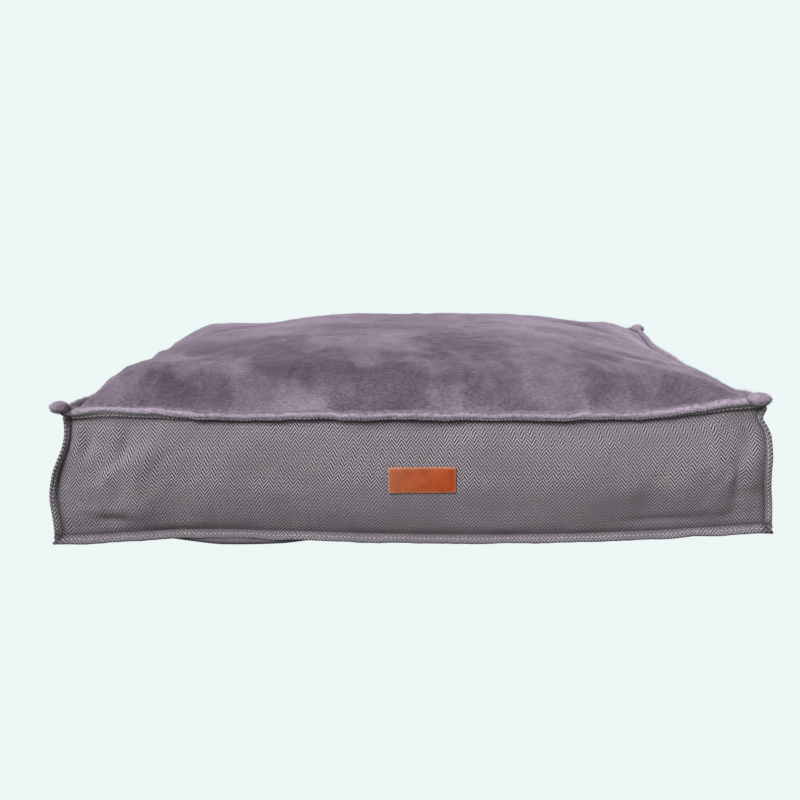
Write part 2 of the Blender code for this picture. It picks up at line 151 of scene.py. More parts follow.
def addNode(tree, kind, settings=None, **links):
    # one node, its settings, and its inputs: a plain value is set, a socket is linked
    node = tree.nodes.new("ShaderNode" + kind)
    for key, value in (settings or {}).items():
        setattr(node, key, value)
    for key, value in links.items():
        socket = node.inputs[int(key[2:]) if key[:2] == "in" and key[2:].isdigit() else key.replace("_", " ")]
        if isinstance(value, bpy.types.NodeSocket):
            tree.links.new(value, socket)
        else:
            socket.default_value = value
    return node


def mathNode(tree, operation, a, b=0.0, clamp=False):
    return addNode(tree, "Math", {"operation": operation, "use_clamp": clamp}, in0=a, in1=b).outputs[0]


def mixColour(tree, share, a, b, blend="MIX"):
    settings = {"data_type": "RGBA", "blend_type": blend}
    return addNode(tree, "Mix", settings, in0=share, in6=a, in7=b).outputs[2]


def rangeMap(tree, value, low, high, to0=0.0, to1=1.0):
    settings = {"interpolation_type": "SMOOTHSTEP"}
    return addNode(tree, "MapRange", settings, in0=value, in1=low, in2=high, in3=to0, in4=to1).outputs[0]


def noiseAt(tree, vector, scale, detail=3.0, rough=0.55):
    return addNode(tree, "TexNoise", None, Vector=vector, Scale=scale, Detail=detail,
                   Roughness=rough).outputs[0]


def stretched(tree, vector, x, y):
    return addNode(tree, "Mapping", None, Vector=vector, Scale=(x, y, 1.0)).outputs[0]


def bumpFrom(tree, height, distance, strength=1.0, under=None):
    links = {"Height": height, "Distance": distance, "Strength": strength}
    if under is not None:
        links["Normal"] = under
    return addNode(tree, "Bump", None, **links).outputs[0]


plushLook = {
    "dark": "4b3f4b",  # pile brushed towards the eye, and the painted shade at the front
    "light": "918294",  # pile brushed away, and the painted sheen at the back and left end
    "tips": "bcaebf",  # painted sheen on the fluffy edge along the flange, and painted light on the ears
    "seamShade": "3c333d",  # painted shade deep in the seam's valley
    "sheen": "e6d6ea",
    "streak": 0.0030,  # a lock of pile, metres across
}


def makePlush():
    # polyester plush, cut pile: soft, dull, lighter where the pile leans away; painted sheen and shade make
    # the back, the left end, the fluffy flange edge and the ears paler and the front darker
    material, tree, shader = newMaterial("brushedPolyesterPlush")
    uv = addNode(tree, "UVMap", {"uv_map": "cut"}).outputs[0]
    warp = addNode(tree, "TexNoise", None, Vector=uv, Scale=14.0, Detail=3.0).outputs[1]
    bent = addNode(tree, "VectorMath", {"operation": "MULTIPLY_ADD"}, in0=warp, in1=(0.035, 0.035, 0.0),
                   in2=uv).outputs[0]
    large = noiseAt(tree, stretched(tree, bent, 5.0, 7.5), 1.0, 3.0, 0.5)
    middle = noiseAt(tree, stretched(tree, bent, 34.0, 17.0), 1.0, 4.0, 0.6)
    place = addNode(tree, "TexCoord").outputs["Object"]
    grain = addNode(tree, "Mapping", None, Vector=place, Rotation=(0, 0, 0.25),
                    Scale=(0.8, 1.5, 1.5)).outputs[0]
    locks = noiseAt(tree, grain, 0.72 / plushLook["streak"], 5.0, 0.72)
    fine = noiseAt(tree, grain, 800.0, 2.0, 0.6)
    napSheenAndShade = mathNode(tree, "ADD", mathNode(tree, "MULTIPLY", rangeMap(tree, large, 0.40, 0.62), 0.70),
                       mathNode(tree, "MULTIPLY", rangeMap(tree, middle, 0.36, 0.66), 0.30))
    spot = addNode(tree, "SeparateXYZ", None, Vector=place)
    # painted sheen and shade: lighter towards the back of the crown and its left end, darker at the front
    sheenAndShade = mathNode(tree, "ADD", rangeMap(tree, spot.outputs[1], -0.22, 0.26, -0.25, 0.50),
                    rangeMap(tree, spot.outputs[0], -0.47, -0.27, 0.42, 0.0))
    napSheenAndShade = mathNode(tree, "ADD", napSheenAndShade, sheenAndShade, clamp=True)
    colour = mixColour(tree, napSheenAndShade, hexColour(plushLook["dark"]), hexColour(plushLook["light"]))
    mottle = rangeMap(tree, locks, 0.30, 0.70, 0.72, 1.26)
    mottled = addNode(tree, "CombineColor", None, in0=mottle, in1=mottle, in2=mottle).outputs[0]
    colour = mixColour(tree, 1.0, colour, mottled, "MULTIPLY")
    # painted sheen and light: paler pile along the flange's fluffy edge, near the seams and on the ears
    edge = addNode(tree, "Attribute", {"attribute_name": "edge"}).outputs["Fac"]
    edge = mathNode(tree, "MULTIPLY", edge, rangeMap(tree, locks, 0.32, 0.60, 0.30, 1.0))
    colour = mixColour(tree, edge, colour, hexColour(plushLook["tips"]))
    # painted shade: darker in the seam's valley
    seamShade = addNode(tree, "Attribute", {"attribute_name": "seamShade"}).outputs["Fac"]
    colour = mixColour(tree, mathNode(tree, "MULTIPLY", seamShade, 0.45), colour, hexColour(plushLook["seamShade"]))
    tree.links.new(colour, shader.inputs["Base Color"])
    shader.inputs["Roughness"].default_value = 0.92
    shader.inputs["Specular IOR Level"].default_value = 0.15
    shader.inputs["Sheen Weight"].default_value = 0.95
    shader.inputs["Sheen Roughness"].default_value = 0.30
    shader.inputs["Sheen Tint"].default_value = hexColour(plushLook["sheen"])
    coarse = bumpFrom(tree, locks, 0.0018, 0.8)
    tree.links.new(bumpFrom(tree, fine, 0.0006, 0.7, coarse), shader.inputs["Normal"])
    return material


tweedLook = {
    "light": "c7bfc5",  # pale warm yarn
    "dark": "2a252b",  # charcoal yarn
    "rubbed": "736c71",  # where it is knocked and worn, and the painted shade low on the walls
    "tint": "6d6273",
    # painted shade in the seams and under the flanges
    "seamShade": "1f1b1f",
    "column": 0.0066,  # width of one column of the herringbone
    "pitch": 0.0056,  # from one pale line to the next, up the cloth
    "rise": 1.36,  # how steeply the lines climb across a column
    "weft": 0.0009,  # from one weft thread to the next
}


def makeTweed():
    # wool-blend herringbone, woven 2/2 twill with broken columns: pale yarn over charcoal, slightly hairy
    material, tree, shader = newMaterial("herringboneWoolTweed")
    uv = addNode(tree, "UVMap", {"uv_map": "cut"}).outputs[0]
    wobble = addNode(tree, "TexNoise", None, Vector=uv, Scale=60.0, Detail=3.0).outputs[1]
    uvBent = addNode(tree, "VectorMath", {"operation": "MULTIPLY_ADD"}, in0=wobble,
                     in1=(0.0016, 0.0016, 0.0), in2=uv).outputs[0]
    parts = addNode(tree, "SeparateXYZ", None, Vector=uvBent)
    u, v = parts.outputs[0], parts.outputs[1]
    columns = mathNode(tree, "DIVIDE", u, tweedLook["column"])
    zigzag = mathNode(tree, "PINGPONG", columns, 1.0)
    turned = mathNode(tree, "PINGPONG", mathNode(tree, "FLOOR", columns), 1.0)
    climb = mathNode(tree, "MULTIPLY", zigzag, tweedLook["rise"] * tweedLook["column"] / tweedLook["pitch"])
    phase = mathNode(tree, "ADD", mathNode(tree, "DIVIDE", v, tweedLook["pitch"]), climb)
    phase = mathNode(tree, "ADD", phase, mathNode(tree, "MULTIPLY", turned, 0.34))
    line = mathNode(tree, "PINGPONG", phase, 0.5)
    line = mathNode(tree, "MULTIPLY", line, 2.0)
    hairs = noiseAt(tree, stretched(tree, uv, 1400.0, 900.0), 1.0, 3.0, 0.7)
    slub = noiseAt(tree, stretched(tree, uv, 210.0, 120.0), 1.0, 3.0, 0.6)
    threshold = mathNode(tree, "ADD", 0.36, mathNode(tree, "MULTIPLY", slub, 0.32))
    pale = addNode(tree, "MapRange", {"interpolation_type": "SMOOTHSTEP"}, in0=line,
                   in1=mathNode(tree, "SUBTRACT", threshold, 0.17),
                   in2=mathNode(tree, "ADD", threshold, 0.17)).outputs[0]
    wefts = mathNode(tree, "PINGPONG", mathNode(tree, "DIVIDE", v, tweedLook["weft"]), 0.5)
    pale = mathNode(tree, "MULTIPLY", pale, rangeMap(tree, wefts, 0.0, 0.4, 0.90, 1.0))
    pale = mathNode(tree, "MULTIPLY", pale, rangeMap(tree, hairs, 0.25, 0.75, 0.84, 1.08))
    colour = mixColour(tree, pale, hexColour(tweedLook["dark"]), hexColour(tweedLook["light"]))
    rubbing = noiseAt(tree, stretched(tree, uv, 7.0, 16.0), 1.0, 4.0, 0.65)
    rubbed = rangeMap(tree, rubbing, 0.38, 0.66, 0.0, 0.34)
    # painted shade: duller low down on the walls, where the light grazes
    spot = addNode(tree, "SeparateXYZ", None, Vector=addNode(tree, "TexCoord").outputs["Object"])
    low = rangeMap(tree, spot.outputs[2], 0.060, 0.102, 0.30, 0.0)
    colour = mixColour(tree, mathNode(tree, "ADD", rubbed, low), colour, hexColour(tweedLook["rubbed"]))
    tint = noiseAt(tree, uv, 14.0, 3.0, 0.6)
    colour = mixColour(tree, rangeMap(tree, tint, 0.35, 0.65, 0.0, 0.16), colour,
                       hexColour(tweedLook["tint"]))
    # painted shade: darker in the seams and under the flanges
    seamShade = addNode(tree, "Attribute", {"attribute_name": "seamShade"}).outputs["Fac"]
    colour = mixColour(tree, mathNode(tree, "MULTIPLY", seamShade, 0.72), colour, hexColour(tweedLook["seamShade"]))
    tree.links.new(colour, shader.inputs["Base Color"])
    shader.inputs["Roughness"].default_value = 0.9
    shader.inputs["Specular IOR Level"].default_value = 0.22
    shader.inputs["Sheen Weight"].default_value = 0.18
    shader.inputs["Sheen Roughness"].default_value = 0.5
    height = mathNode(tree, "ADD", mathNode(tree, "MULTIPLY", line, 0.7),
                      mathNode(tree, "MULTIPLY", hairs, 0.35))
    tree.links.new(bumpFrom(tree, height, 0.0007, 0.8), shader.inputs["Normal"])
    return material


def makeWoven(name, low, high, thread, roughness=0.85, sheen=0.1):
    # plain weave: two sets of threads over and under each other
    material, tree, shader = newMaterial(name)
    uv = addNode(tree, "UVMap", {"uv_map": "cut"}).outputs[0]
    parts = addNode(tree, "SeparateXYZ", None, Vector=uv)
    across = mathNode(tree, "PINGPONG", mathNode(tree, "DIVIDE", parts.outputs[0], thread), 0.5)
    along = mathNode(tree, "PINGPONG", mathNode(tree, "DIVIDE", parts.outputs[1], thread), 0.5)
    weave = mathNode(tree, "ADD", across, along)
    slub = noiseAt(tree, stretched(tree, uv, 300.0, 60.0), 1.0, 3.0)
    tone = mathNode(tree, "ADD", mathNode(tree, "MULTIPLY", weave, 0.6),
                    mathNode(tree, "MULTIPLY", slub, 0.5))
    colour = mixColour(tree, rangeMap(tree, tone, 0.2, 1.0), hexColour(low), hexColour(high))
    tree.links.new(colour, shader.inputs["Base Color"])
    shader.inputs["Roughness"].default_value = roughness
    shader.inputs["Sheen Weight"].default_value = sheen
    tree.links.new(bumpFrom(tree, weave, 0.0004, 0.7), shader.inputs["Normal"])
    return material


leatherLook = {
    "dark": "9a3a08",
    "light": "c0521a",
    "wornEdgeAndGlint": "e6a27c",  # the paler, rubbed edge, and a painted highlight on the left end
    "pores": 900.0,  # per metre
}


def makeLeather():
    # vegetable-tanned cowhide, pressed smooth: warm tan with a soft shine, fine pores, paler at its cut edge
    material, tree, shader = newMaterial("tanVegetableLeather")
    place = addNode(tree, "TexCoord").outputs["Object"]
    pores = addNode(tree, "TexVoronoi", {"feature": "DISTANCE_TO_EDGE"}, Vector=place,
                    Scale=leatherLook["pores"]).outputs[0]
    cloud = noiseAt(tree, place, 45.0, 4.0, 0.6)
    colour = mixColour(tree, rangeMap(tree, cloud, 0.3, 0.7), hexColour(leatherLook["dark"]),
                       hexColour(leatherLook["light"]))
    wornEdgeAndGlint = addNode(tree, "Attribute", {"attribute_name": "wornEdgeAndGlint"}).outputs["Fac"]
    colour = mixColour(tree, wornEdgeAndGlint, colour, hexColour(leatherLook["wornEdgeAndGlint"]))
    tree.links.new(colour, shader.inputs["Base Color"])
    tree.links.new(rangeMap(tree, cloud, 0.3, 0.7, 0.30, 0.42), shader.inputs["Roughness"])
    shader.inputs["Specular IOR Level"].default_value = 0.5
    grain = mathNode(tree, "ADD", mathNode(tree, "MULTIPLY", rangeMap(tree, pores, 0.0, 0.2), 0.5),
                     noiseAt(tree, place, 420.0, 3.0))
    tree.links.new(bumpFrom(tree, grain, 0.00018, 0.7), shader.inputs["Normal"])
    return material


def makeThread(name, low, high):
    # spun polyester sewing thread: soft shine, with the twist of its plies across each stitch
    material, tree, shader = newMaterial(name)
    place = addNode(tree, "TexCoord").outputs["Object"]
    twist = addNode(tree, "TexWave", {"bands_direction": "DIAGONAL"}, Vector=place, Scale=700.0,
                    Distortion=2.0).outputs[1]
    colour = mixColour(tree, twist, hexColour(low), hexColour(high))
    tree.links.new(colour, shader.inputs["Base Color"])
    shader.inputs["Roughness"].default_value = 0.6
    shader.inputs["Sheen Weight"].default_value = 0.2
    tree.links.new(bumpFrom(tree, twist, 0.0001, 0.6), shader.inputs["Normal"])
    return material


def makeSimple(name, low, high, scale, roughness, metallic=0.0, depth=0.00005):
    material, tree, shader = newMaterial(name)
    place = addNode(tree, "TexCoord").outputs["Object"]
    cloud = noiseAt(tree, place, scale, 4.0, 0.6)
    colour = mixColour(tree, rangeMap(tree, cloud, 0.3, 0.7), hexColour(low), hexColour(high))
    tree.links.new(colour, shader.inputs["Base Color"])
    tree.links.new(rangeMap(tree, cloud, 0.3, 0.7, roughness * 0.85, roughness * 1.15),
                   shader.inputs["Roughness"])
    shader.inputs["Metallic"].default_value = metallic
    tree.links.new(bumpFrom(tree, cloud, depth, 0.6), shader.inputs["Normal"])
    return material


plush = makePlush()
tweed = makeTweed()
canvas = makeWoven("polyesterBaseCanvas", "59535b", "8b858d", 0.0016)
leather = makeLeather()
greyThread = makeThread("greySpunThread", "a69ea2", "d8d1d4")
tanThread = makeThread("tanSpunThread", "b8602f", "dd9468")
tapeCloth = makeWoven("wovenZipTape", "2a272b", "3f3b40", 0.0010)
nylon = makeSimple("mouldedNylonCoil", "2b282c", "38343a", 300.0, 0.38)
zipMetal = makeSimple("nickelPlatedZinc", "8d8986", "a7a29d", 200.0, 0.30, 1.0)
satin = makeWoven("polyesterSatinTape", "dcd8d2", "efece6", 0.0004, 0.45, 0.2)
linerCloth = makeWoven("undyedNonwovenLiner", "cfcac0", "e4dfd5", 0.0016)
fibre = makeSimple("hollowPolyesterFibre", "e3e2de", "f2f1ee", 60.0, 0.95, 0.0, 0.002)
print("materials made")


# the stuffed bag: cut as a flat box, then blown up to the fill's volume

cover = {
    "topHalf": (0.4670, 0.3430),  # seam corners of the made-up cover
    "baseHalf": (0.4770, 0.3510),
    "drawIn": 0.007,  # how far the seams pull in between corners
    "topZ": 0.1755,
    "baseZ": 0.018,
    "cutTop": (0.476, 0.350),  # half sizes of the flat cut
    "cutBase": (0.480, 0.355),
    "cutWall": 0.166,
    "ease": 0.030,  # extra cloth, which puckers
    "cell": 0.0125,
    "volume": 0.1505,
    "frames": 20,
    "startCrown": 0.050,
    "fullness": 1.35,  # above 1 the crown rises sooner behind its seams
    "crownTop": 0.2545,
    "wallBulge": 0.0185,
    "baseBulge": (0.024, 0.016),  # forwards and down, under the front left seam
    "zip": (0.375, 0.3625, 0.097),  # half length, y and z of the straight zip line
}

# how each corner of a used bed sits, front left first and then anticlockwise from above
corners = {
    (-1, -1): {"rise": 0.0015, "lean": 74, "sway": 0.0035,
        "bow": (0.009, 0.014, 0.012, 0.003, -0.001, 0.002)},
    (1, -1): {"rise": 0.0135, "lean": 52, "sway": 0.0040,
        "bow": (0.005, 0.004, 0.009, 0.006, -0.005, -0.007)},
    (1, 1): {"rise": 0.0115, "lean": 60, "sway": 0.0030,
        "bow": (0.002, 0.006, 0.006, 0.003, -0.002, -0.001)},
    (-1, 1): {"rise": -0.0140, "lean": 20, "sway": 0.0030,
        "bow": (0.004, 0.008, 0.006, 0.002, -0.002, -0.001)},
}
bowLevels = (0, 0.3, 0.6, 0.8, 0.93, 1)
frontHem = {"at": (-1, -0.92, -0.64, -0.35, 0, 0.25, 0.5, 0.75, 1),
            "z": (0.0135, 0.016, 0.022, 0.018, 0.0130, 0.0125, 0.0145, 0.0205, 0.031)}


def nearCorner(t, half, run=0.11):
    return smoothStep((np.abs(t) * half - (half - run)) / run)


def atSeam(t):
    # u or w is on the panel's edge
    return np.abs(t) > 0.999


def halfWidth(side):
    return cover["topHalf"][0 if side in ("front", "rear") else 1]


def cornerOf(u, w):
    return (-1 if u < 0 else 1, -1 if w < 0 else 1)


def startPoint(u, w, level):
    # level 0 is the base, 1 the top and between them the walls; u and w run from -1 to 1
    tx, ty = cover["topHalf"]
    bx, by = cover["baseHalf"]
    nearX, nearY = nearCorner(u, tx), nearCorner(w, ty)
    top = np.array([u * (tx - cover["drawIn"] * (1 - nearY)), w * (ty - cover["drawIn"] * (1 - nearX)),
                    cover["topZ"] + 0.010 * nearX * nearY])
    if level == 1:
        return top + [0, 0, cover["startCrown"] * (1 - abs(u) ** 4) * (1 - abs(w) ** 3)]
    if level == 0:
        lift = 1 - (1 - nearCorner(u, bx, 0.08)) * (1 - nearCorner(w, by, 0.08))
        return np.array([u * bx, w * by, 0.0016 + (cover["baseZ"] - 0.0016) * lift])
    base = np.array([u * bx, w * by, cover["baseZ"]])
    point = base + (top - base) * level
    bulge = 0.012 * math.sin(math.pi * level)
    point[1] += math.copysign(bulge * (1 - nearX), w) * atSeam(w)
    point[0] += math.copysign(bulge * (1 - nearY), u) * atSeam(u)
    return point


def flatPoint(u, w, level):
    size = 1 + cover["ease"]
    low, high = np.array(cover["cutBase"]), np.array(cover["cutTop"])
    half = low + (high - low) * level
    return np.array([u * half[0], w * half[1], cover["cutWall"] * level]) * size


def wallEdge(side, s):
    return {"front": (s, -1), "right": (1, s), "rear": (-s, 1), "left": (-1, -s)}[side]


def cutBag():
    # grids of shared points: rows run up or back, columns to the right seen from outside
    across, deep, tall = (2 * round(x / cover["cell"]) for x in (*cover["topHalf"], cover["cutWall"] / 2))
    places, index, grids = [], {}, {}

    def vertex(u, w, level):
        key = (round(u, 6), round(w, 6), round(level, 6))
        if key not in index:
            index[key] = len(places)
            places.append(key)
        return index[key]

    def spots(n):
        return [2 * i / n - 1 for i in range(n + 1)]

    grids["top"] = [[vertex(u, w, 1) for u in spots(across)] for w in spots(deep)]
    grids["base"] = [[vertex(-u, w, 0) for u in spots(across)] for w in spots(deep)]
    for side in sides:
        run = spots(across if side in ("front", "rear") else deep)
        grids[side] = [[vertex(*wallEdge(side, s), j / tall) for s in run] for j in range(tall + 1)]
    return np.array(places), {key: np.array(grid) for key, grid in grids.items()}


def bagFaces(grids):
    return np.concatenate([
        np.stack([g[:-1, :-1], g[:-1, 1:], g[1:, 1:], g[1:, :-1]], -1).reshape(-1, 4) for g in grids.values()
    ])


def stuffBag(places, grids):
    start = np.array([startPoint(*p) for p in places])
    levels = places[:, 2]
    uw = places[:, :2]
    zipHalf, zipY, zipZ = cover["zip"]
    onZip = (uw[:, 1] > 0.999) & (np.abs(levels - 0.5) < 1e-4) & (np.abs(start[:, 0]) < zipHalf)
    start[onZip, 1], start[onZip, 2] = zipY, zipZ
    bag = makeObject("stuffedBag", start, bagFaces(grids), canvas)
    bag.shape_key_add(name="start")
    flat = bag.shape_key_add(name="flatCut")
    flat.data.foreach_set("co", np.array([flatPoint(*p) for p in places]).ravel())
    flat.value = 0
    seam = (np.abs(uw) > 0.999).sum(1) + ((levels == 0) | (levels == 1)) >= 2
    held = bag.vertex_groups.new(name="held")
    pushed = bag.vertex_groups.new(name="pushed")
    onFloor = (levels == 0) & (np.abs(start[:, 0]) < 0.38) & (np.abs(start[:, 1]) < 0.26)
    for i in range(len(start)):
        hold = 1.0 if onZip[i] or onFloor[i] else 0.0
        if seam[i] and not hold:
            hold = 0.55 if levels[i] == 0 else 0.22 if levels[i] == 1 else 0.12
        if hold:
            held.add([i], hold, "REPLACE")
        pushed.add([i], 1.0 if levels[i] == 1 else 0.1 if levels[i] == 0 else 0.45, "REPLACE")
    size = 2.0
    floor = makeObject("simFloor", [(-size, -size, 0), (size, -size, 0), (size, size, 0), (-size, size, 0)],
                       np.array([[0, 1, 2, 3]]), canvas)
    floor.modifiers.new("collide", "COLLISION")
    floor.collision.thickness_outer = 0.001
    cloth = bag.modifiers.new("cloth", "CLOTH")
    settings = cloth.settings
    settings.quality = 6
    settings.tension_stiffness = settings.compression_stiffness = 15
    settings.shear_stiffness = 8
    settings.bending_stiffness = 0.08
    settings.tension_damping = settings.compression_damping = settings.shear_damping = 10
    settings.air_damping = 4
    settings.rest_shape_key = bag.data.shape_keys.key_blocks["flatCut"]
    settings.use_pressure = settings.use_pressure_volume = True
    settings.uniform_pressure_force = 0
    settings.target_volume = cover["volume"]
    settings.pressure_factor = 20
    settings.vertex_group_mass = "held"
    settings.vertex_group_pressure = "pushed"
    settings.effector_weights.gravity = 0
    cloth.collision_settings.distance_min = 0.001
    cloth.collision_settings.use_self_collision = False
    cloth.point_cache.frame_start, cloth.point_cache.frame_end = 1, cover["frames"]
    for number in range(1, cover["frames"] + 1):
        bpy.context.scene.frame_set(number)
    stuffed = bag.evaluated_get(bpy.context.evaluated_depsgraph_get()).to_mesh()
    points = np.zeros(len(start) * 3)
    stuffed.vertices.foreach_get("co", points)
    bpy.context.scene.frame_set(1)
    for obj in (bag, floor):
        bpy.data.objects.remove(obj)
    return points.reshape(-1, 3)


def eased(t, at, values, blur):
    # a curve through listed points, with its corners rounded off
    return np.mean([np.interp(t + o, at, values) for o in np.linspace(-blur, blur, 9)], axis=0)


def cornerWeights(u, w, run):
    # each corner's share of a point on the seam, falling away over this many metres
    near = nearCorner(u, cover["topHalf"][0], run) * nearCorner(w, cover["topHalf"][1], run)
    return {key: near * (np.sign(u) == key[0]) * (np.sign(w) == key[1]) for key in corners}


def topSeamPoint(u, w):
    tx, ty = cover["topHalf"]
    nearX, nearY = nearCorner(u, tx, 0.16), nearCorner(w, ty, 0.16)
    z = cover["topZ"] + sum(share * corners[key]["rise"] for key, share in cornerWeights(u, w, 0.17).items())
    line = np.stack([u * tx, w * ty, np.zeros_like(u)], axis=1)
    waves = wander(line, 0.10, 3, 2)
    x = u * (tx - cover["drawIn"] * (1 - nearY)) + np.sign(u) * atSeam(u) * waves * 0.0025 * (1 - nearY)
    y = w * (ty - cover["drawIn"] * (1 - nearX)) + np.sign(w) * atSeam(w) * waves * 0.0025 * (1 - nearX)
    return np.stack([x, y, z + wander(line, 0.085, 5, 2) * 0.0016], axis=1)


def baseSeamPoint(u, w):
    bx, by = cover["baseHalf"]
    front = eased(u, frontHem["at"], frontHem["z"], 0.09)
    fade = 1 - smoothStep((w + 1) / 0.7)
    z = cover["baseZ"] + (front - cover["baseZ"]) * fade
    nearX, nearY = nearCorner(u, bx, 0.2), nearCorner(w, by, 0.2)
    pull = 0.004 * (1 - nearX) * atSeam(w) + 0.004 * (1 - nearY) * atSeam(u)
    bow = np.array([corners[cornerOf(a, b)]["bow"][0] for a, b in zip(u, w)]) * nearX * nearY
    x = u * bx - np.sign(u) * pull * atSeam(u) + np.sign(u) * bow * atSeam(u)
    y = w * by - np.sign(w) * pull * atSeam(w) + np.sign(w) * bow * 0.4 * atSeam(w)
    return np.stack([x, y, z], axis=1)


def postPoint(u, w, level):
    # the upright seams bow out and sway as the corners fill unevenly
    low, high = baseSeamPoint(u, w), topSeamPoint(u, w)
    line = low + (high - low) * level[:, None]
    keys = [cornerOf(a, b) for a, b in zip(u, w)]
    bow = np.array([eased(v, bowLevels, corners[key]["bow"], 0.05) - (1 - v) * corners[key]["bow"][0]
                    for v, key in zip(level, keys)])
    sway = np.array([math.sin(math.pi * 2.2 * v + key[0]) * math.sin(math.pi * v) * corners[key]["sway"]
                     for v, key in zip(level, keys)])
    line[:, 0] += np.sign(u) * (bow + sway)
    line[:, 1] += np.sign(w) * (bow * 0.4 - sway)
    return line


def coons(edgeLow, edgeHigh, edgeLeft, edgeRight):
    # spreads what happens along a panel's four edges over the panel
    u = np.linspace(0, 1, len(edgeLow))[None, :, None]
    v = np.linspace(0, 1, len(edgeLeft))[:, None, None]
    ruled = edgeLow[None] * (1 - v) + edgeHigh[None] * v
    ruled = ruled + edgeLeft[:, None] * (1 - u) + edgeRight[:, None] * u
    ends = (1 - u) * (1 - v) * edgeLow[0] + u * (1 - v) * edgeLow[-1]
    ends = ends + (1 - u) * v * edgeHigh[0] + u * v * edgeHigh[-1]
    return ruled - ends


def settleBag(points, places, grids):
    # what a used, hand-filled cushion does: full shoulders, uneven sides, corners that lean
    u, w, level = places.T
    top = level == 1
    seamZ = cover["topZ"]
    peak = points[top, 2].max()
    share = np.clip((points[top, 2] - seamZ) / (peak - seamZ), 0, 1)
    leftFull = 0.22 * smoothStep((-u[top] - 0.45) / 0.4)
    full = 1 - (1 - share) ** (cover["fullness"] + leftFull)
    # how much lower the crown lies at its left, rear left and right, and fuller in the middle of its back
    left = 0.10 * smoothStep((-u[top] - 0.25) / 0.5)
    rearLeft = 0.20 * smoothStep((-u[top] - 0.30) / 0.5) * smoothStep((w[top] + 0.3) / 1.0)
    right = 0.13 * smoothStep((u[top] - 0.35) / 0.5)
    midBack = 1 - smoothStep((np.abs(u[top] - 0.08) - 0.10) / 0.42)
    back = 0.11 * np.exp(-((w[top] - 0.55) / 0.30) ** 2) * midBack
    slack = 1 - left - rearLeft - right + back
    points[top, 2] += full * slack * (cover["crownTop"] - seamZ) - share * (peak - seamZ)

    target = points.copy()
    rim = atSeam(u) | atSeam(w)
    rimTop = top & rim
    rimBase = (level == 0) & rim
    posts = atSeam(u) & atSeam(w) & ~rimTop & ~rimBase
    target[rimTop] = topSeamPoint(u[rimTop], w[rimTop])
    target[rimBase] = baseSeamPoint(u[rimBase], w[rimBase])
    target[posts] = postPoint(u[posts], w[posts], level[posts])
    shift = target - points
    settled = target.copy()
    for name, grid in grids.items():
        spread = coons(shift[grid[0]], shift[grid[-1]], shift[grid[:, 0]], shift[grid[:, -1]])
        if name in ("top", "base"):
            inset = np.minimum((1 - np.abs(u[grid])) * cover["topHalf"][0],
                               (1 - np.abs(w[grid])) * cover["topHalf"][1])
            spread = spread * (1 - smoothStep(inset / (0.20 if name == "top" else 0.13)))[..., None]
        inside = grid[1:-1, 1:-1]
        settled[inside] = points[inside] + spread[1:-1, 1:-1]
    for name in sides:
        grid = grids[name]
        up = np.linspace(0, 1, len(grid))[:, None, None]
        line = settled[grid[0]][None] + (settled[grid[-1]] - settled[grid[0]])[None] * up
        middle = grid.shape[1] // 2
        out = np.array([*wallEdge(name, 0), 0.0])
        wantedBulge = cover["wallBulge"] * np.sin(math.pi * level[grid]) ** 0.75
        near = slice(middle - 8, middle + 9)
        has = ((settled[grid] - line) @ out)[:, near].mean(1)
        ends = (1 - np.abs(np.linspace(-1, 1, grid.shape[1]))) * halfWidth(name)
        puff = 1 - (1 - np.clip(ends / 0.085, 0, 1)) ** 3
        settled[grid[1:-1, 1:-1]] += ((wantedBulge - has[:, None]) * puff[None])[1:-1, 1:-1, None] * out
    # the base cloth bulges out and down under the front left seam
    lens = np.exp(-((u + 0.51) / 0.27) ** 2)
    roll = (level == 0) & (w > -0.999) & (w < -0.93)
    settled[roll, 1] -= cover["baseBulge"][0] * lens[roll]
    settled[roll, 2] -= cover["baseBulge"][1] * lens[roll]
    base = level == 0
    settled[base, 2] = np.maximum(settled[base, 2], 0.0016)
    rear = grids["rear"]
    zipHalf, zipY, zipZ = cover["zip"]
    mid = rear.shape[0] // 2
    inZip = 1 - smoothStep((np.abs(settled[rear[mid], 0]) - zipHalf) / 0.05)
    off = np.stack([np.zeros(len(inZip)), zipY - settled[rear[mid], 1], zipZ - settled[rear[mid], 2]],
                   axis=1) * inZip[:, None]
    hump = np.sin(math.pi * level[rear]) ** 1.5
    settled[rear[1:-1, 1:-1]] += (hump[..., None] * off[None])[1:-1, 1:-1]
    return settled


places, bagGrids = cutBag()
bagPoints = settleBag(stuffBag(places, bagGrids), places, bagGrids)
print("bag stuffed:", len(bagPoints), "points")


# panels: each grid made finer, creased, then given its flanges

panel = {
    "finer": 3,
    "clearance": 0.0002,
    "tweedThickness": 0.0016,
    "canvasThickness": 0.0012,
    "plushThickness": 0.0040,
    "edgeFluff": 0.0072,  # how thick the pile stands on the flange
    "earFluff": 0.0085,
    "earReach": 0.04,  # how much further each corner of a flange runs out
    "topFlange": 0.0135,
    "baseFlange": 0.0145,
    "cornerFlange": 0.0110,
    "topLean": 9.0,  # degrees above level, mid-side
    "baseLean": 48.0,  # degrees below level
    "flangeRows": 5,
}

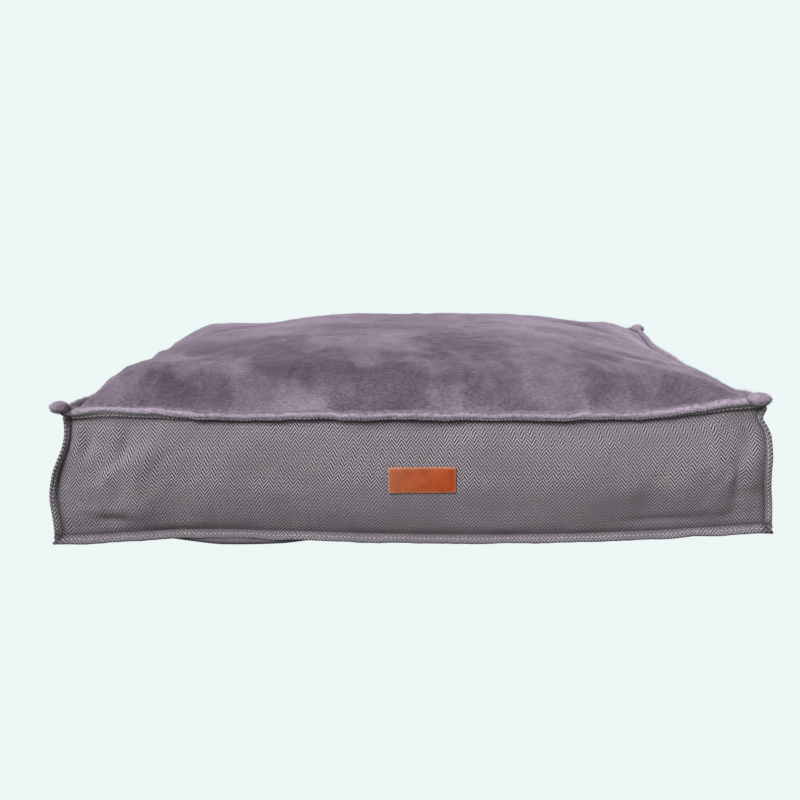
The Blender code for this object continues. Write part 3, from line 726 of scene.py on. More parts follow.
creases = {
    "seamPucker": 0.0022,  # short folds that run away from the top and base seams
    "postPucker": 0.0026,  # level folds that run away from the corner seams
    "wallDent": 0.0042,
    "wallDentSize": 0.13,
    "crownDent": 0.0036,
    "crownPucker": 0.0016,
    "earPull": 0.0042,  # folds that fan out of each ear
    # dents in the front wall: middle x and height, depth, and half sizes across and up
    "frontFolds": (
        (-0.405, 0.020, 0.0065, 0.020, 0.009),
        (-0.372, 0.034, -0.0040, 0.030, 0.014),
        (0.434, 0.075, 0.0085, 0.009, 0.040),
        (0.447, 0.128, 0.0060, 0.008, 0.022),
        (-0.440, 0.128, 0.0060, 0.010, 0.022),
        (0.33, 0.016, 0.0035, 0.080, 0.007),
        (-0.02, 0.150, 0.0030, 0.110, 0.006),
    ),
    "slackFold": 0.0030,  # height of the fold along the back of the crown
    "slackValley": 0.0022,  # depth of the valley in front of it
}


def splineWeights(count, finer):
    # Catmull-Rom weights from knots to points in between
    fine = (count - 1) * finer + 1
    weights = np.zeros((fine, count + 2))
    for f in range(fine):
        span = min(f // finer, count - 2)
        t = f / finer - span
        basis = (-t + 2 * t * t - t ** 3, 2 - 5 * t * t + 3 * t ** 3, t + 4 * t * t - 3 * t ** 3,
                 -t * t + t ** 3)
        for k in range(4):
            weights[f, span + k] += basis[k] / 2
    inner = weights[:, 1:-1]
    inner[:, 0] += 2 * weights[:, 0]
    inner[:, 1] -= weights[:, 0]
    inner[:, -1] += 2 * weights[:, -1]
    inner[:, -2] -= weights[:, -1]
    return inner


def finerGrid(grid):
    rows, columns = (splineWeights(n, panel["finer"]) for n in grid.shape[:2])
    return np.einsum("ri,ijk,cj->rck", rows, grid, columns)


fine = {key: finerGrid(bagPoints[grid]) for key, grid in bagGrids.items()}


def creaseWall(side, grid):
    # puckers along the seams, a soft dent here and there, and nothing at the seams themselves
    rows, columns = grid.shape[:2]
    wide = 2 * halfWidth(side)
    s, v = np.meshgrid(np.linspace(0, wide, columns), np.linspace(0, cover["cutWall"], rows))
    seed = 40 + sides.index(side)
    fromSeam = np.minimum(v, cover["cutWall"] - v)
    fromPost = np.minimum(s, wide - s)
    rim = smoothStep(fromSeam / 0.012) * smoothStep(fromPost / 0.012)
    upright = wander(np.stack([s / 0.026, v / 0.09], -1), 1.0, seed)
    upright = upright * np.exp(-fromSeam / 0.026) * creases["seamPucker"]
    level = wander(np.stack([s / 0.085, v / 0.024], -1), 1.0, seed + 5)
    level = level * np.exp(-fromPost / 0.045) * creases["postPucker"]
    dents = wander(np.stack([s, v * 1.6], -1), creases["wallDentSize"], seed + 9, 2) * creases["wallDent"]
    offset = (upright + level + dents) * rim
    if side == "front":
        x = s - wide / 2
        for cx, cz, depth, sizeX, sizeZ in creases["frontFolds"]:
            offset = offset - depth * np.exp(-((x - cx) / sizeX) ** 2 - ((v - cz) / sizeZ) ** 2) * rim
    if side == "rear":
        offset = offset * smoothStep((np.abs(v - cover["cutWall"] / 2) - 0.012) / 0.03)
    return grid + gridNormals(grid) * offset[..., None]


def creaseCrown(grid):
    x, y = grid[..., 0], grid[..., 1]
    rows, columns = grid.shape[:2]
    a, b = np.meshgrid(np.linspace(-1, 1, columns), np.linspace(-1, 1, rows))
    inset = np.minimum((1 - np.abs(a)) * cover["topHalf"][0], (1 - np.abs(b)) * cover["topHalf"][1])
    rim = smoothStep(inset / 0.014)
    offset = wander(np.stack([x, y], -1), 0.16, 23, 2) * creases["crownDent"]
    along = np.where((1 - np.abs(a)) * cover["topHalf"][0] < (1 - np.abs(b)) * cover["topHalf"][1], y, x)
    pucker = wander(np.stack([along / 0.030, inset / 0.08], -1), 1.0, 27)
    offset = offset + pucker * np.exp(-inset / 0.034) * creases["crownPucker"]
    for k, key in enumerate(corners):
        dx, dy = x - key[0] * cover["topHalf"][0], y - key[1] * cover["topHalf"][1]
        distance = np.hypot(dx, dy)
        turn = np.arctan2(np.abs(dy), np.abs(dx))
        fan = wander(np.stack([turn * 4.2, distance * 5], -1), 1.0, 31 + k)
        offset = offset + fan * np.exp(-((distance - 0.07) / 0.085) ** 2) * creases["earPull"]
    # a long slack fold lies along the back of the crown and down its right shoulder
    fold = np.interp(x, (-0.38, -0.1, 0.15, 0.32, 0.43), (0.07, 0.175, 0.19, 0.12, -0.06))
    fade = smoothStep((0.44 - np.abs(x)) / 0.12)
    offset = offset + creases["slackFold"] * np.exp(-((y - fold) / 0.016) ** 2) * fade
    offset = offset - creases["slackValley"] * np.exp(-((y - fold + 0.026) / 0.016) ** 2) * fade
    return grid + gridNormals(grid) * (offset * rim)[..., None]


for side in sides:
    fine[side] = creaseWall(side, fine[side])
fine["top"] = creaseCrown(fine["top"])
topSeam = {"front": fine["top"][0], "right": fine["top"][:, -1], "rear": fine["top"][-1, ::-1],
           "left": fine["top"][::-1, 0]}
endKeys = {"front": ((-1, -1), (1, -1)), "right": ((1, -1), (1, 1)), "rear": ((1, 1), (-1, 1)),
           "left": ((-1, 1), (-1, -1))}


def outwards(line):
    # level direction away from the bag, for a seam that runs to the right seen from outside
    run = np.gradient(line, axis=0)
    return unit(np.stack([run[:, 1], -run[:, 0], np.zeros(len(line))], axis=1))


def runAlong(line):
    return np.concatenate([[0], np.cumsum(np.linalg.norm(np.diff(line, axis=0), axis=1))])


def flangeField(line, lean, endLeans, width, seed, endEars=(50, 50), down=False):
    # for each seam point: level part and height of the flange at its edge
    steps = runAlong(line)
    first, last = (1 - smoothStep(d / 0.24) for d in (steps, steps[-1] - steps))
    ears = [1 - smoothStep(d / 0.05) for d in (steps, steps[-1] - steps)]
    sway = wander(line, 0.075, seed) * 11 + wander(line, 0.022, seed + 4) * 7
    angle = lean + (endLeans[0] - lean) * first + (endLeans[1] - lean) * last
    if not down:
        for share, wanted in zip(ears, endEars):
            angle = angle + (wanted - angle) * share
    angle = np.radians(angle + sway * (1 - 0.6 * (ears[0] + ears[1])))
    wide = width * (1 + 0.10 * wander(line, 0.05, seed + 9))
    level = outwards(line) * (np.cos(angle) * wide)[:, None]
    return level, np.sin(angle) * wide * (-1 if down else 1)


# degrees above level at each corner; on the short sides the flange lies flatter
sideLeans = {(-1, -1): 15, (1, -1): 40, (1, 1): 55, (-1, 1): -30}
earLeans = {(-1, -1): 45, (1, -1): 50, (1, 1): 50, (-1, 1): -15}
upperFlange, lowerFlange = {}, {}
for i, side in enumerate(sides):
    leans = [corners[key]["lean"] if side in ("front", "rear") else sideLeans[key] for key in endKeys[side]]
    lean = -25.0 if side == "left" else panel["topLean"]  # the left one has been sat on and droops
    tips = [earLeans[key] for key in endKeys[side]]
    upperFlange[side] = flangeField(topSeam[side], lean, leans, panel["topFlange"], i + 1, tips)
    low = [panel["baseLean"]] * 2
    lowerFlange[side] = flangeField(fine[side][0], panel["baseLean"], low, panel["baseFlange"], i + 11,
                                    down=True)
depths = np.linspace(0, 1, panel["flangeRows"] + 1)[1:]  # share of the way from the seam to the flange's edge


def sheetWithFlange(grid, field, order, flip):
    # adds flange rows and columns, and square corners, round the top or the base
    n = len(depths)
    rows, columns = grid.shape[:2]
    out = np.zeros((rows + 2 * n, columns + 2 * n, 3))
    out[n:-n, n:-n] = grid
    low, right, high, left = ((field[side][0][::f], field[side][1][::f]) for side, f in zip(order, flip))

    def reach(edge, k):
        return edge[0] * k + np.stack([np.zeros_like(edge[1]), np.zeros_like(edge[1]), edge[1] * k], axis=-1)

    for i, k in enumerate(depths):
        out[n - 1 - i, n:-n] = grid[0] + reach(low, k)
        out[-n + i, n:-n] = grid[-1] + reach(high, k)
        out[n:-n, n - 1 - i] = grid[:, 0] + reach(left, k)
        out[n:-n, -n + i] = grid[:, -1] + reach(right, k)
    for i, a in enumerate(depths):
        for j, b in enumerate(depths):
            for row, column, r, c in ((n - 1 - i, n - 1 - j, 0, 0), (n - 1 - i, -n + j, 0, -1),
                                      (-n + i, n - 1 - j, -1, 0), (-n + i, -n + j, -1, -1)):
                edgeRow = low if r == 0 else high
                edgeColumn = left if c == 0 else right
                level = edgeRow[0][c] * a + edgeColumn[0][r] * b
                rise = edgeRow[1][c] * max(a, b)
                further = level * (1 + panel["earReach"] * a * b)
                out[row, column] = grid[r, c] + further + np.array([0, 0, rise])
    return out


def flatUv(rows, columns, wide, tall, flange):
    def line(count, size):
        return np.concatenate([-flange * depths[::-1], np.linspace(0, size, count), size + flange * depths])
    return np.stack(np.meshgrid(line(columns, wide), line(rows, tall)), axis=-1)


def fromEdge(rows, columns):
    # share of the way across the flange, 0 inside the seam
    def line(count):
        return np.concatenate([depths[::-1], np.zeros(count), depths])
    down, along = line(rows)[:, None], line(columns)[None, :]
    return np.maximum(down, along)


pieces = {}


def keep(piece, node):
    if node:
        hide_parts(node)
    pieces[piece.name] = piece
    return piece


# plush top, with its pile standing thick on the flange and in the ears
topGrid = fine["top"]
inner = sheetWithFlange(topGrid, upperFlange, sides, (1, 1, -1, -1))
rim = fromEdge(*topGrid.shape[:2])
normals = gridNormals(inner)
inner = inner + normals * panel["clearance"]
earX, earY = (half + 0.008 for half in cover["topHalf"])
fromEars = [np.hypot(inner[..., 0] - k[0] * earX, inner[..., 1] - k[1] * earY) for k in corners]
earNear = np.max([np.exp(-(distance / 0.016) ** 2) for distance in fromEars], axis=0)
fluff = smoothStep((rim - 0.30) / 0.5)
pressed = np.exp(-((rim - 0.22) / 0.14) ** 2) * (rim > 0)
tuft = wander(inner, 0.011, 21) * 0.5 + wander(inner, 0.005, 22) * 0.5
stand = panel["edgeFluff"] + (panel["earFluff"] - panel["edgeFluff"]) * earNear
fluffy = (stand - panel["plushThickness"]) * fluff * (1 + 0.60 * tuft)
thick = panel["plushThickness"] * (1 - 0.35 * pressed) + fluffy
lumps = wander(inner, 0.014, 24) * 0.0007
outer = inner + normals * (thick + np.maximum(lumps, -0.001))[..., None]
uvTop = flatUv(*topGrid.shape[:2], 2 * cover["cutTop"][0], 2 * cover["cutTop"][1], panel["topFlange"])
a, b = (np.abs(np.linspace(-1, 1, count)) for count in (topGrid.shape[1], topGrid.shape[0]))
inset = np.minimum((1 - a[None]) * cover["topHalf"][0], (1 - b[:, None]) * cover["topHalf"][1])
# painted shade in the top seam's valley
valleyShade = np.exp(-np.pad(inset, len(depths)) / 0.0045) * (1 - smoothStep(rim / 0.5))
# painted sheen: paler pile on the crown near its seams
seamSheen = np.exp(-np.pad(inset, len(depths)) / 0.05) * (rim == 0) * (0.5 + 0.5 * wander(inner, 0.09, 77, 2))
marks = {"edge": np.clip(fluff + 0.75 * np.clip(seamSheen, 0, 1), 0, 1), "seamShade": valleyShade}
topPiece = keep(clothShell("plushTop", inner, outer, uvTop, plush, marks), "top_panel")
topOuter, topNormals = outer, normals

# dark base cloth; its columns run towards -X, so its left edge is the right wall's
baseGrid = fine["base"]
inner = sheetWithFlange(baseGrid, lowerFlange, ("front", "left", "rear", "right"), (-1, -1, 1, 1))
normals = gridNormals(inner)
inner = inner + normals * panel["clearance"]
outer = inner + normals * panel["canvasThickness"]
uvBase = flatUv(*baseGrid.shape[:2], 2 * cover["cutBase"][0], 2 * cover["cutBase"][1], panel["baseFlange"])
basePiece = keep(clothShell("baseCloth", inner, outer, uvBase, canvas), "base_panel")


def wallWithFlanges(side, grid, hasTop, hasBase):
    # rows run up the wall; each end column gets its corner flange
    top, low = upperFlange[side], lowerFlange[side]
    before, after = sides[sides.index(side) - 1], sides[(sides.index(side) + 1) % 4]
    topLevel, lowLevel = top[0].copy(), low[0].copy()
    further = 1 + panel["earReach"]
    for own, flange in ((topLevel, upperFlange), (lowLevel, lowerFlange)):
        own[0] = (own[0] + flange[before][0][-1]) * further
        own[-1] = (own[-1] + flange[after][0][0]) * further

    def reach(level, rise, k):
        return (level + np.stack([np.zeros_like(rise), np.zeros_like(rise), rise], axis=-1)) * k

    body, share = [grid], [np.linspace(0, 1, grid.shape[0])]
    if hasBase:
        body.insert(0, np.stack([grid[0] + reach(lowLevel, low[1], k) for k in depths[::-1]]))
        share.insert(0, -depths[::-1])
    if hasTop:
        body.append(np.stack([grid[-1] + reach(topLevel, top[1], k) for k in depths]))
        share.append(1 + depths)
    body, share = np.concatenate(body), np.concatenate(share)
    wide = panel["cornerFlange"] * smoothStep(np.minimum((share + 0.9) / 0.9, (1.75 - share) / 0.75))
    height = share if hasTop and hasBase else 0.5 * share + (0.5 if hasTop else 0.0)
    posts = []
    for end, column, other in ((-1, body[:, 0], before), (1, body[:, -1], after)):
        theirs = 0 if end < 0 else -1
        direction = unit(outwards(topSeam[side])[theirs] + outwards(topSeam[other])[-1 if end < 0 else 0])
        corner = endKeys[side][0 if end < 0 else 1]
        sway = np.array([math.sin(5.0 * v + 1.3 * corner[0] + corner[1])
                         for v in np.clip(height, 0, 1)]) * 0.42
        sideways = np.array([-direction[1], direction[0], 0.0])
        turned = unit(direction[None] + sideways[None] * sway[:, None])
        posts.append(np.stack([column + turned * (wide * k)[:, None] for k in depths], axis=1))
    return np.concatenate([posts[0][:, ::-1], body, posts[1]], axis=1)


def wallUv(side, grid, hasTop, hasBase, lowShare):
    # the flat cut, measured along the cloth so that the weave keeps its size
    start = {"front": 0.0, "right": 0.96, "rear": 1.67, "left": 2.63}[side]
    n = len(depths)
    across = np.linalg.norm(np.diff(grid[n:-n] if hasTop and hasBase else grid, axis=1), axis=2).mean(0)
    u = np.concatenate([[0], np.cumsum(across)])
    u = u - u[n]
    wide = u[-n - 1]
    up = np.linalg.norm(np.diff(grid, axis=0), axis=2)
    v = np.concatenate([np.zeros((1, grid.shape[1])), np.cumsum(up, axis=0)])
    v[:, :n], v[:, -n:] = v[:, n:n + 1], v[:, -n - 1:-n]
    v = v - (v[n] if hasBase else 0)
    tall = v[-n - 1] if hasTop else v[-1]
    fromSeam = np.full(v.shape, 1.0)
    if hasBase:
        fromSeam = np.minimum(fromSeam, np.where(v < 0, -v * 1.6, v * 0.8))
    if hasTop:
        fromSeam = np.minimum(fromSeam, np.abs(v - tall[None]) * np.where(v > tall[None], 1.6, 1.0))
    uRow = np.broadcast_to(u, v.shape)
    fromPost = np.minimum(np.where(uRow < 0, -uRow * 1.6, uRow),
                          np.where(uRow > wide, (uRow - wide) * 1.6, wide - uRow))
    # painted shade: darker near the seams and under the flanges
    seamShade = np.exp(-np.minimum(fromSeam, fromPost) / 0.0042)
    return np.stack([uRow + start, v + lowShare * cover["cutWall"]], axis=-1), seamShade


wallOuter = {}


def makeWall(name, side, grid, node, hasTop=True, hasBase=True, lowShare=0.0, hem=None):
    inner = wallWithFlanges(side, grid, hasTop, hasBase)
    normals = gridNormals(inner)
    inner = inner + normals * panel["clearance"]
    thick = np.full(inner.shape[:2], panel["tweedThickness"])
    if hem is not None:
        thick = thick + hem
    outer = inner + normals * thick[..., None]
    wallOuter[name] = outer
    uv, seamShade = wallUv(side, inner, hasTop, hasBase, lowShare)
    return keep(clothShell(name, inner, outer, uv, tweed, {"seamShade": seamShade}), node)


for side in ("front", "right", "left"):
    makeWall(side + "Wall", side, fine[side], side + "_boxing")

# rear wall in two halves, standing back from the zip, each with its edge folded under
zipper = {
    "clearHalf": 0.362,
    "closeRun": 0.010,
    "reveal": 0.0055,
    "closed": 0.0006,
    "hem": 0.0010,
    "hemWidth": 0.0085,
    "coilHalf": 0.356,
    "coilPitch": 0.0015,
}


def fromZip(way, spots):
    # points of the rear cloth up or down from the zip line, one row each;
    # the spots are distances in metres, or shares of the half wall where they run up to 1
    grid = fine["rear"]
    middle = (grid.shape[0] - 1) // 2
    half = grid[middle:] if way > 0 else grid[:middle + 1][::-1]
    lengths = np.linalg.norm(np.diff(half, axis=0), axis=2)
    steps = np.concatenate([np.zeros((1, half.shape[1])), np.cumsum(lengths, axis=0)])
    new = np.zeros((spots.shape[0], half.shape[1], 3))
    asShares = spots.max() > 0.5
    for c in range(half.shape[1]):
        where = spots[:, c] * (steps[-1, c] if asShares else 1)
        for k in range(3):
            new[:, c, k] = np.interp(where, steps[:, c], half[:, c, k])
    return new if way > 0 else new[::-1]


def rearHalf(way):
    centre = fine["rear"][(fine["rear"].shape[0] - 1) // 2]
    beyond = np.clip((np.abs(centre[:, 0]) - zipper["clearHalf"]) / zipper["closeRun"], 0, 1)
    gap = zipper["reveal"] + (zipper["closed"] - zipper["reveal"]) * beyond
    rows = (fine["rear"].shape[0] + 1) // 2 + 4
    spread = np.linspace(0, 1, rows)[:, None] ** 1.3
    tall = cover["cutWall"] / 2
    spots = gap[None] / tall + (1 - gap[None] / tall) * spread
    hem = zipper["hem"] * (1 - smoothStep((spread * tall - zipper["hemWidth"]) / 0.003)) * np.ones_like(spots)
    padding = ((0, len(depths)) if way > 0 else (len(depths), 0), (len(depths), len(depths)))
    return fromZip(way, spots), np.pad(hem if way > 0 else hem[::-1], padding, mode="edge")


for way, name, node, ends in ((1, "rearWallUpper", "rear_boxing_upper", {"hasBase": False, "lowShare": 0.53}),
                              (-1, "rearWallLower", "rear_boxing_lower", {"hasTop": False})):
    grid, hem = rearHalf(way)
    makeWall(name, "rear", grid, node, hem=hem, **ends)
print("panels made")


# stitches

stitch = {"pitch": 0.0058, "length": 0.0037, "radius": 0.00068}


def sewn(name, line, lift, material, node, pitch=None, radius=None, trim=0.006):
    # separate stitches along a line; lift is each point's way out of the cloth
    pitch, radius = pitch or stitch["pitch"], radius or stitch["radius"]
    steps = runAlong(line)
    count = int((steps[-1] - 2 * trim) / pitch)
    length = stitch["length"] * pitch / stitch["pitch"]
    ring = np.linspace(0, 2 * math.pi, 6, endpoint=False)
    shape = ((-0.5, 0.25, -0.9), (-0.42, 0.8, -0.1), (-0.15, 1.0, 0.45), (0.15, 1.0, 0.45),
             (0.42, 0.8, -0.1), (0.5, 0.25, -0.9))
    spots = trim + pitch * (np.arange(count) + 0.5)

    def at(values, where):
        return np.stack([np.interp(where, steps, values[:, k]) for k in range(3)], axis=1)

    centres = at(line, spots)
    run = unit(at(line, spots + length / 2) - at(line, spots - length / 2))
    ups = at(lift, spots)
    ups = unit(ups - run * (ups * run).sum(1)[:, None])
    across = np.cross(run, ups)
    sections = []
    for t, size, height in shape:
        middle = centres + run * (t * length) + ups * (height * radius)
        sections.append(np.stack([middle + (across * math.cos(a) + ups * math.sin(a)) * radius * size
                                  for a in ring], axis=1))
    block = np.stack(sections, axis=1)  # stitches, sections, ring, xyz
    starts = (np.arange(count) * len(shape) * 6)[:, None, None]
    quads = (gridFaces(len(shape), 6, closed=True)[None] + starts).reshape(-1, 4)
    caps = (np.array([[5, 4, 3, 2, 1, 0], [30, 31, 32, 33, 34, 35]])[None] + starts).reshape(-1, 6)
    return keep(makeObject(name, block.reshape(-1, 3), [quads, caps], material), node)


n = len(depths)


def seamStitches(name, outer, rowFromTop=None, rowFromBase=None, node=None):
    row = outer.shape[0] - rowFromTop if rowFromTop else rowFromBase
    normals = gridNormals(outer)
    return sewn(name, outer[row, n:-n], normals[row, n:-n], greyThread, node)


for side, wall in (("front", "frontWall"), ("right", "rightWall"), ("left", "leftWall")):
    seamStitches(f"topStitches.{side}", wallOuter[wall], rowFromTop=4, node=f"top_stitching_{side}")
    seamStitches(f"baseStitches.{side}", wallOuter[wall], rowFromBase=2, node=f"base_stitching_{side}")
seamStitches("topStitches.rear", wallOuter["rearWallUpper"], rowFromTop=4, node="top_stitching_rear")
seamStitches("baseStitches.rear", wallOuter["rearWallLower"], rowFromBase=2, node="base_stitching_rear")

for name, wall, column, node in (("frontLeft", "frontWall", 2, "corner_stitching_front_left"),
                                 ("frontRight", "frontWall", -3, "corner_stitching_front_right"),
                                 ("rearRight", "rightWall", -3, "corner_stitching_rear_right"),
                                 ("rearLeft", "leftWall", 2, "corner_stitching_rear_left")):
    outer = wallOuter[wall]
    sewn(f"cornerStitches.{name}", outer[n:-n, column], gridNormals(outer)[n:-n, column], greyThread, node)

for way, name, wall in ((1, "upper", "rearWallUpper"), (-1, "lower", "rearWallLower")):
    outer = wallOuter[wall]
    z = outer[:, outer.shape[1] // 2, 2]
    row = int(np.argmin(np.abs(z - (cover["zip"][2] + way * 0.0115))))
    inZip = np.abs(outer[row, :, 0]) < 0.368
    normals = gridNormals(outer)
    sewn(f"zipStitches.{name}", outer[row, inZip], normals[row, inZip], greyThread, f"zip_stitching_{name}",
         pitch=0.0034, radius=0.00042)
print("stitches made")


# zip

def wovenUv(grid):
    # a strip's own width and length, in metres
    rows, columns = grid.shape[:2]
    wide, tall = runAlong(grid[rows // 2])[-1], runAlong(grid[:, columns // 2])[-1]
    return np.stack(np.meshgrid(np.linspace(0, wide, columns), np.linspace(0, tall, rows)), axis=-1)


def thickStrip(name, grid, depth, thickness, material, node):
    # a tape that follows a grid of points, this far behind it
    normals = gridNormals(grid)
    back = grid - normals * (depth + thickness)
    return keep(clothShell(name, back, grid - normals * depth, wovenUv(grid), material), node)


for way, label in ((1, "upper"), (-1, "lower")):
    centre = fine["rear"][(fine["rear"].shape[0] - 1) // 2]
    spots = np.linspace(0.0010, 0.0130, 7)[:, None] * np.ones((1, len(centre)))
    tape = fromZip(way, spots)[:, np.abs(centre[:, 0]) < 0.3805]
    thickStrip(f"zipTape.{label}", tape, 0.0010, 0.0006, tapeCloth, f"zip_tape_{label}")


def coilRow(name, way, node):
    # one nylon filament wound into teeth that reach across to the other row
    turns = int(2 * zipper["coilHalf"] / zipper["coilPitch"])
    perTurn, ring = 10, 5
    _, zipY, zipZ = cover["zip"]
    t = np.arange(turns * perTurn + 1) / perTurn
    turn = 2 * math.pi * t
    x = -zipper["coilHalf"] + t * zipper["coilPitch"] + (zipper["coilPitch"] / 2 if way < 0 else 0) * 0.9
    inward = 0.5 * (1 - np.cos(turn))
    z = zipZ + way * (0.0031 - 0.0033 * inward)
    y = zipY + 0.0005 + 0.00078 * np.sin(turn)
    line = np.stack([x, y, z], axis=1)
    run = unit(np.gradient(line, axis=0))
    across = unit(np.cross(run, [1.0, 0.0, 0.0]))
    up = np.cross(run, across)
    radius = 0.00040 * (1 + 0.35 * inward)
    angles = np.linspace(0, 2 * math.pi, ring, endpoint=False)
    verts = np.stack([line + (across * math.cos(a) + up * math.sin(a)) * radius[:, None] for a in angles],
                     axis=1)
    last = (len(line) - 1) * ring
    caps = np.array([[4, 3, 2, 1, 0], [last, last + 1, last + 2, last + 3, last + 4]])
    coil = makeObject(name, verts.reshape(-1, 3), [gridFaces(len(line), ring, closed=True), caps], nylon)
    return keep(coil, node)


coilRow("zipCoil.upper", 1, "zip_coil_upper")
coilRow("zipCoil.lower", -1, "zip_coil_lower")


def plate(outline, holes, y0, y1, bevel):
    # a flat metal part: an outline in X and Z with holes, made this thick and its edges rounded
    shape = bmesh.new()
    edges = []
    for loop in [outline] + list(holes):
        ring = [shape.verts.new((x, y0, z)) for x, z in loop]
        edges += [shape.edges.new((a, b)) for a, b in zip(ring, ring[1:] + ring[:1])]
    filled = bmesh.ops.triangle_fill(shape, edges=edges, use_beauty=True)["geom"]
    faces = [f for f in filled if isinstance(f, bmesh.types.BMFace)]
    moved = bmesh.ops.extrude_face_region(shape, geom=faces)["geom"]
    for vertex in moved:
        if isinstance(vertex, bmesh.types.BMVert):
            vertex.co.y = y1
    bmesh.ops.recalc_face_normals(shape, faces=shape.faces)
    sharp = [e for e in shape.edges if len(e.link_faces) == 2 and e.calc_face_angle(0) > 1.0]
    bmesh.ops.bevel(shape, geom=sharp, offset=bevel, segments=2, profile=0.5, affect="EDGES")
    return shape


def ellipse(cx, cz, rx, rz, count=16):
    return [(cx + rx * math.cos(a), cz + rz * math.sin(a))
            for a in np.linspace(0, 2 * math.pi, count, endpoint=False)]


def rounded(points, radius, steps=4):
    # a polygon with its corners rounded
    out = []
    for i, p in enumerate(points):
        p, before, after = Vector(p), Vector(points[i - 1]), Vector(points[(i + 1) % len(points)])
        a = p + (before - p).normalized() * min(radius, (before - p).length / 2)
        b = p + (after - p).normalized() * min(radius, (after - p).length / 2)
        for k in range(steps + 1):
            t = k / steps
            out.append(tuple(a.lerp(p, t).lerp(p.lerp(b, t), t)))
    return out


def meshFrom(name, parts, material, node):
    whole = bpy.data.meshes.new(name)
    joined = bmesh.new()
    for part in parts:
        scratch = bpy.data.meshes.new("scratch")
        part.to_mesh(scratch)
        joined.from_mesh(scratch)
        bpy.data.meshes.remove(scratch)
        part.free()
    joined.to_mesh(whole)
    joined.free()
    whole.shade_smooth()
    obj = bpy.data.objects.new(name, whole)
    bpy.context.collection.objects.link(obj)
    whole.materials.append(material)
    whole.set_sharp_from_angle(angle=math.radians(40))
    return keep(obj, node)


def bail(x0, x1, low, high, halfZ, thick):
    # the loop that the pull hangs from
    path = [(x0, low), (x0, high - 0.0009), (x0 + 0.0004, high - 0.0003), (x0 + 0.0010, high),
            (x1 - 0.0010, high),
            (x1 - 0.0004, high - 0.0003), (x1, high - 0.0009), (x1, low)]
    shape = bmesh.new()
    middle = (x0 + x1) / 2
    rings = []
    for x, y in path:
        insideX = x + (thick if x < middle else -thick) * (1 if y < high - 0.0002 else 0.6)
        insideY = y - (thick if y > high - 0.0010 else 0)
        section = ((x, y, -halfZ), (x, y, halfZ), (insideX, insideY, halfZ), (insideX, insideY, -halfZ))
        rings.append([shape.verts.new((a, b, zipLine + c)) for a, b, c in section])
    for a, b in zip(rings, rings[1:]):
        for k in range(4):
            shape.faces.new((a[k], a[(k + 1) % 4], b[(k + 1) % 4], b[k]))
    shape.faces.new(rings[0][::-1])
    shape.faces.new(rings[-1])
    bmesh.ops.recalc_face_normals(shape, faces=shape.faces)
    bmesh.ops.bevel(shape, geom=shape.edges[:], offset=0.00015, segments=1, affect="EDGES")
    return shape


zipLine = cover["zip"][2]
slider = {
    "outline": ((0.3435, 0.0034), (0.3555, 0.0045)),  # x, and half height there
    "corner": 0.0022,
    "face": (0.3648, 0.3662),  # y of each plate's two sides
    "back": (0.3594, 0.3605),
    "post": (0.3600, 0.3655),
    "lips": (0.3643, 0.3652),
    "bail": (0.3466, 0.3525, 0.3658, 0.3684),  # x of its feet, y of its foot and top
    "bailHalf": 0.0012,
    "bailThick": 0.0008,
}
pull = {
    "outline": ((0.3211, 0.0032), (0.3400, 0.0027), (0.3501, 0.0027)),
    "corner": 0.0020,
    "slot": ((0.3436, 0.0017), (0.3487, 0.0017)),  # the slot that the bail passes through
    "hole": (0.3243, 0.0011),  # x and radius of the round hole
    "sides": (0.3662, 0.3672),
}


def mirrored(spots):
    # an outline with the same half height above and below the zip's line
    return [(x, zipLine - half) for x, half in spots] + [(x, zipLine + half) for x, half in spots[::-1]]


body = rounded(mirrored(slider["outline"]), slider["corner"])
slim = [(x, zipLine + (z - zipLine) * 0.96) for x, z in body]
post = [(0.3515, zipLine), (0.3530, zipLine - 0.0011), (0.3550, zipLine), (0.3530, zipLine + 0.0011)]
sliderParts = [plate(body, [], *slider["face"], 0.0004), plate(slim, [], *slider["back"], 0.0003),
               plate(rounded(post, 0.0003), [], *slider["post"], 0.0001),
               bail(*slider["bail"], slider["bailHalf"], slider["bailThick"])]
for way in (-1, 1):
    lipCorners = ((0.3440, 0.0033), (0.3550, 0.0043), (0.3550, 0.0037), (0.3440, 0.0028))
    lip = rounded([(x, zipLine + way * half) for x, half in lipCorners], 0.0002)
    sliderParts.append(plate(lip, [], *slider["lips"], 0.0001))
meshFrom("zipSlider", sliderParts, zipMetal, "zip_slider")

tab = rounded(mirrored(pull["outline"]), pull["corner"])
holeX, holeRadius = pull["hole"]
holes = [rounded(mirrored(pull["slot"]), 0.0006), ellipse(holeX, zipLine, holeRadius, holeRadius)]
meshFrom("zipPull", [plate(tab, holes, *pull["sides"], 0.0002)], zipMetal, "zip_pull")

stops = {  # x and height of each stop's edges
    "bottom": (-0.3594, -0.3564, 0.0937, 0.1003, "zip_bottom_stop"),
    "topUpper": (0.3564, 0.3594, 0.0975, 0.1003, "zip_top_stop_upper"),
    "topLower": (0.3564, 0.3594, 0.0937, 0.0965, "zip_top_stop_lower"),
}
for name, (x0, x1, z0, z1, node) in stops.items():
    outline = rounded([(x0, z0), (x1, z0), (x1, z1), (x0, z1)], 0.0008)
    meshFrom(f"zipStop.{name}", [plate(outline, [], 0.3612, 0.3646, 0.0003)], zipMetal, node)
print("zip made")


# label, sewn to the front wall

label = {
    "x": 0.0103,
    "z": 0.0944,
    "half": (0.0460, 0.0177),
    "thickness": 0.0019,
    "corner": 0.0016,
    "stitchInset": 0.0018,
    "tilt": 0.2,  # degrees, as it was sewn
}

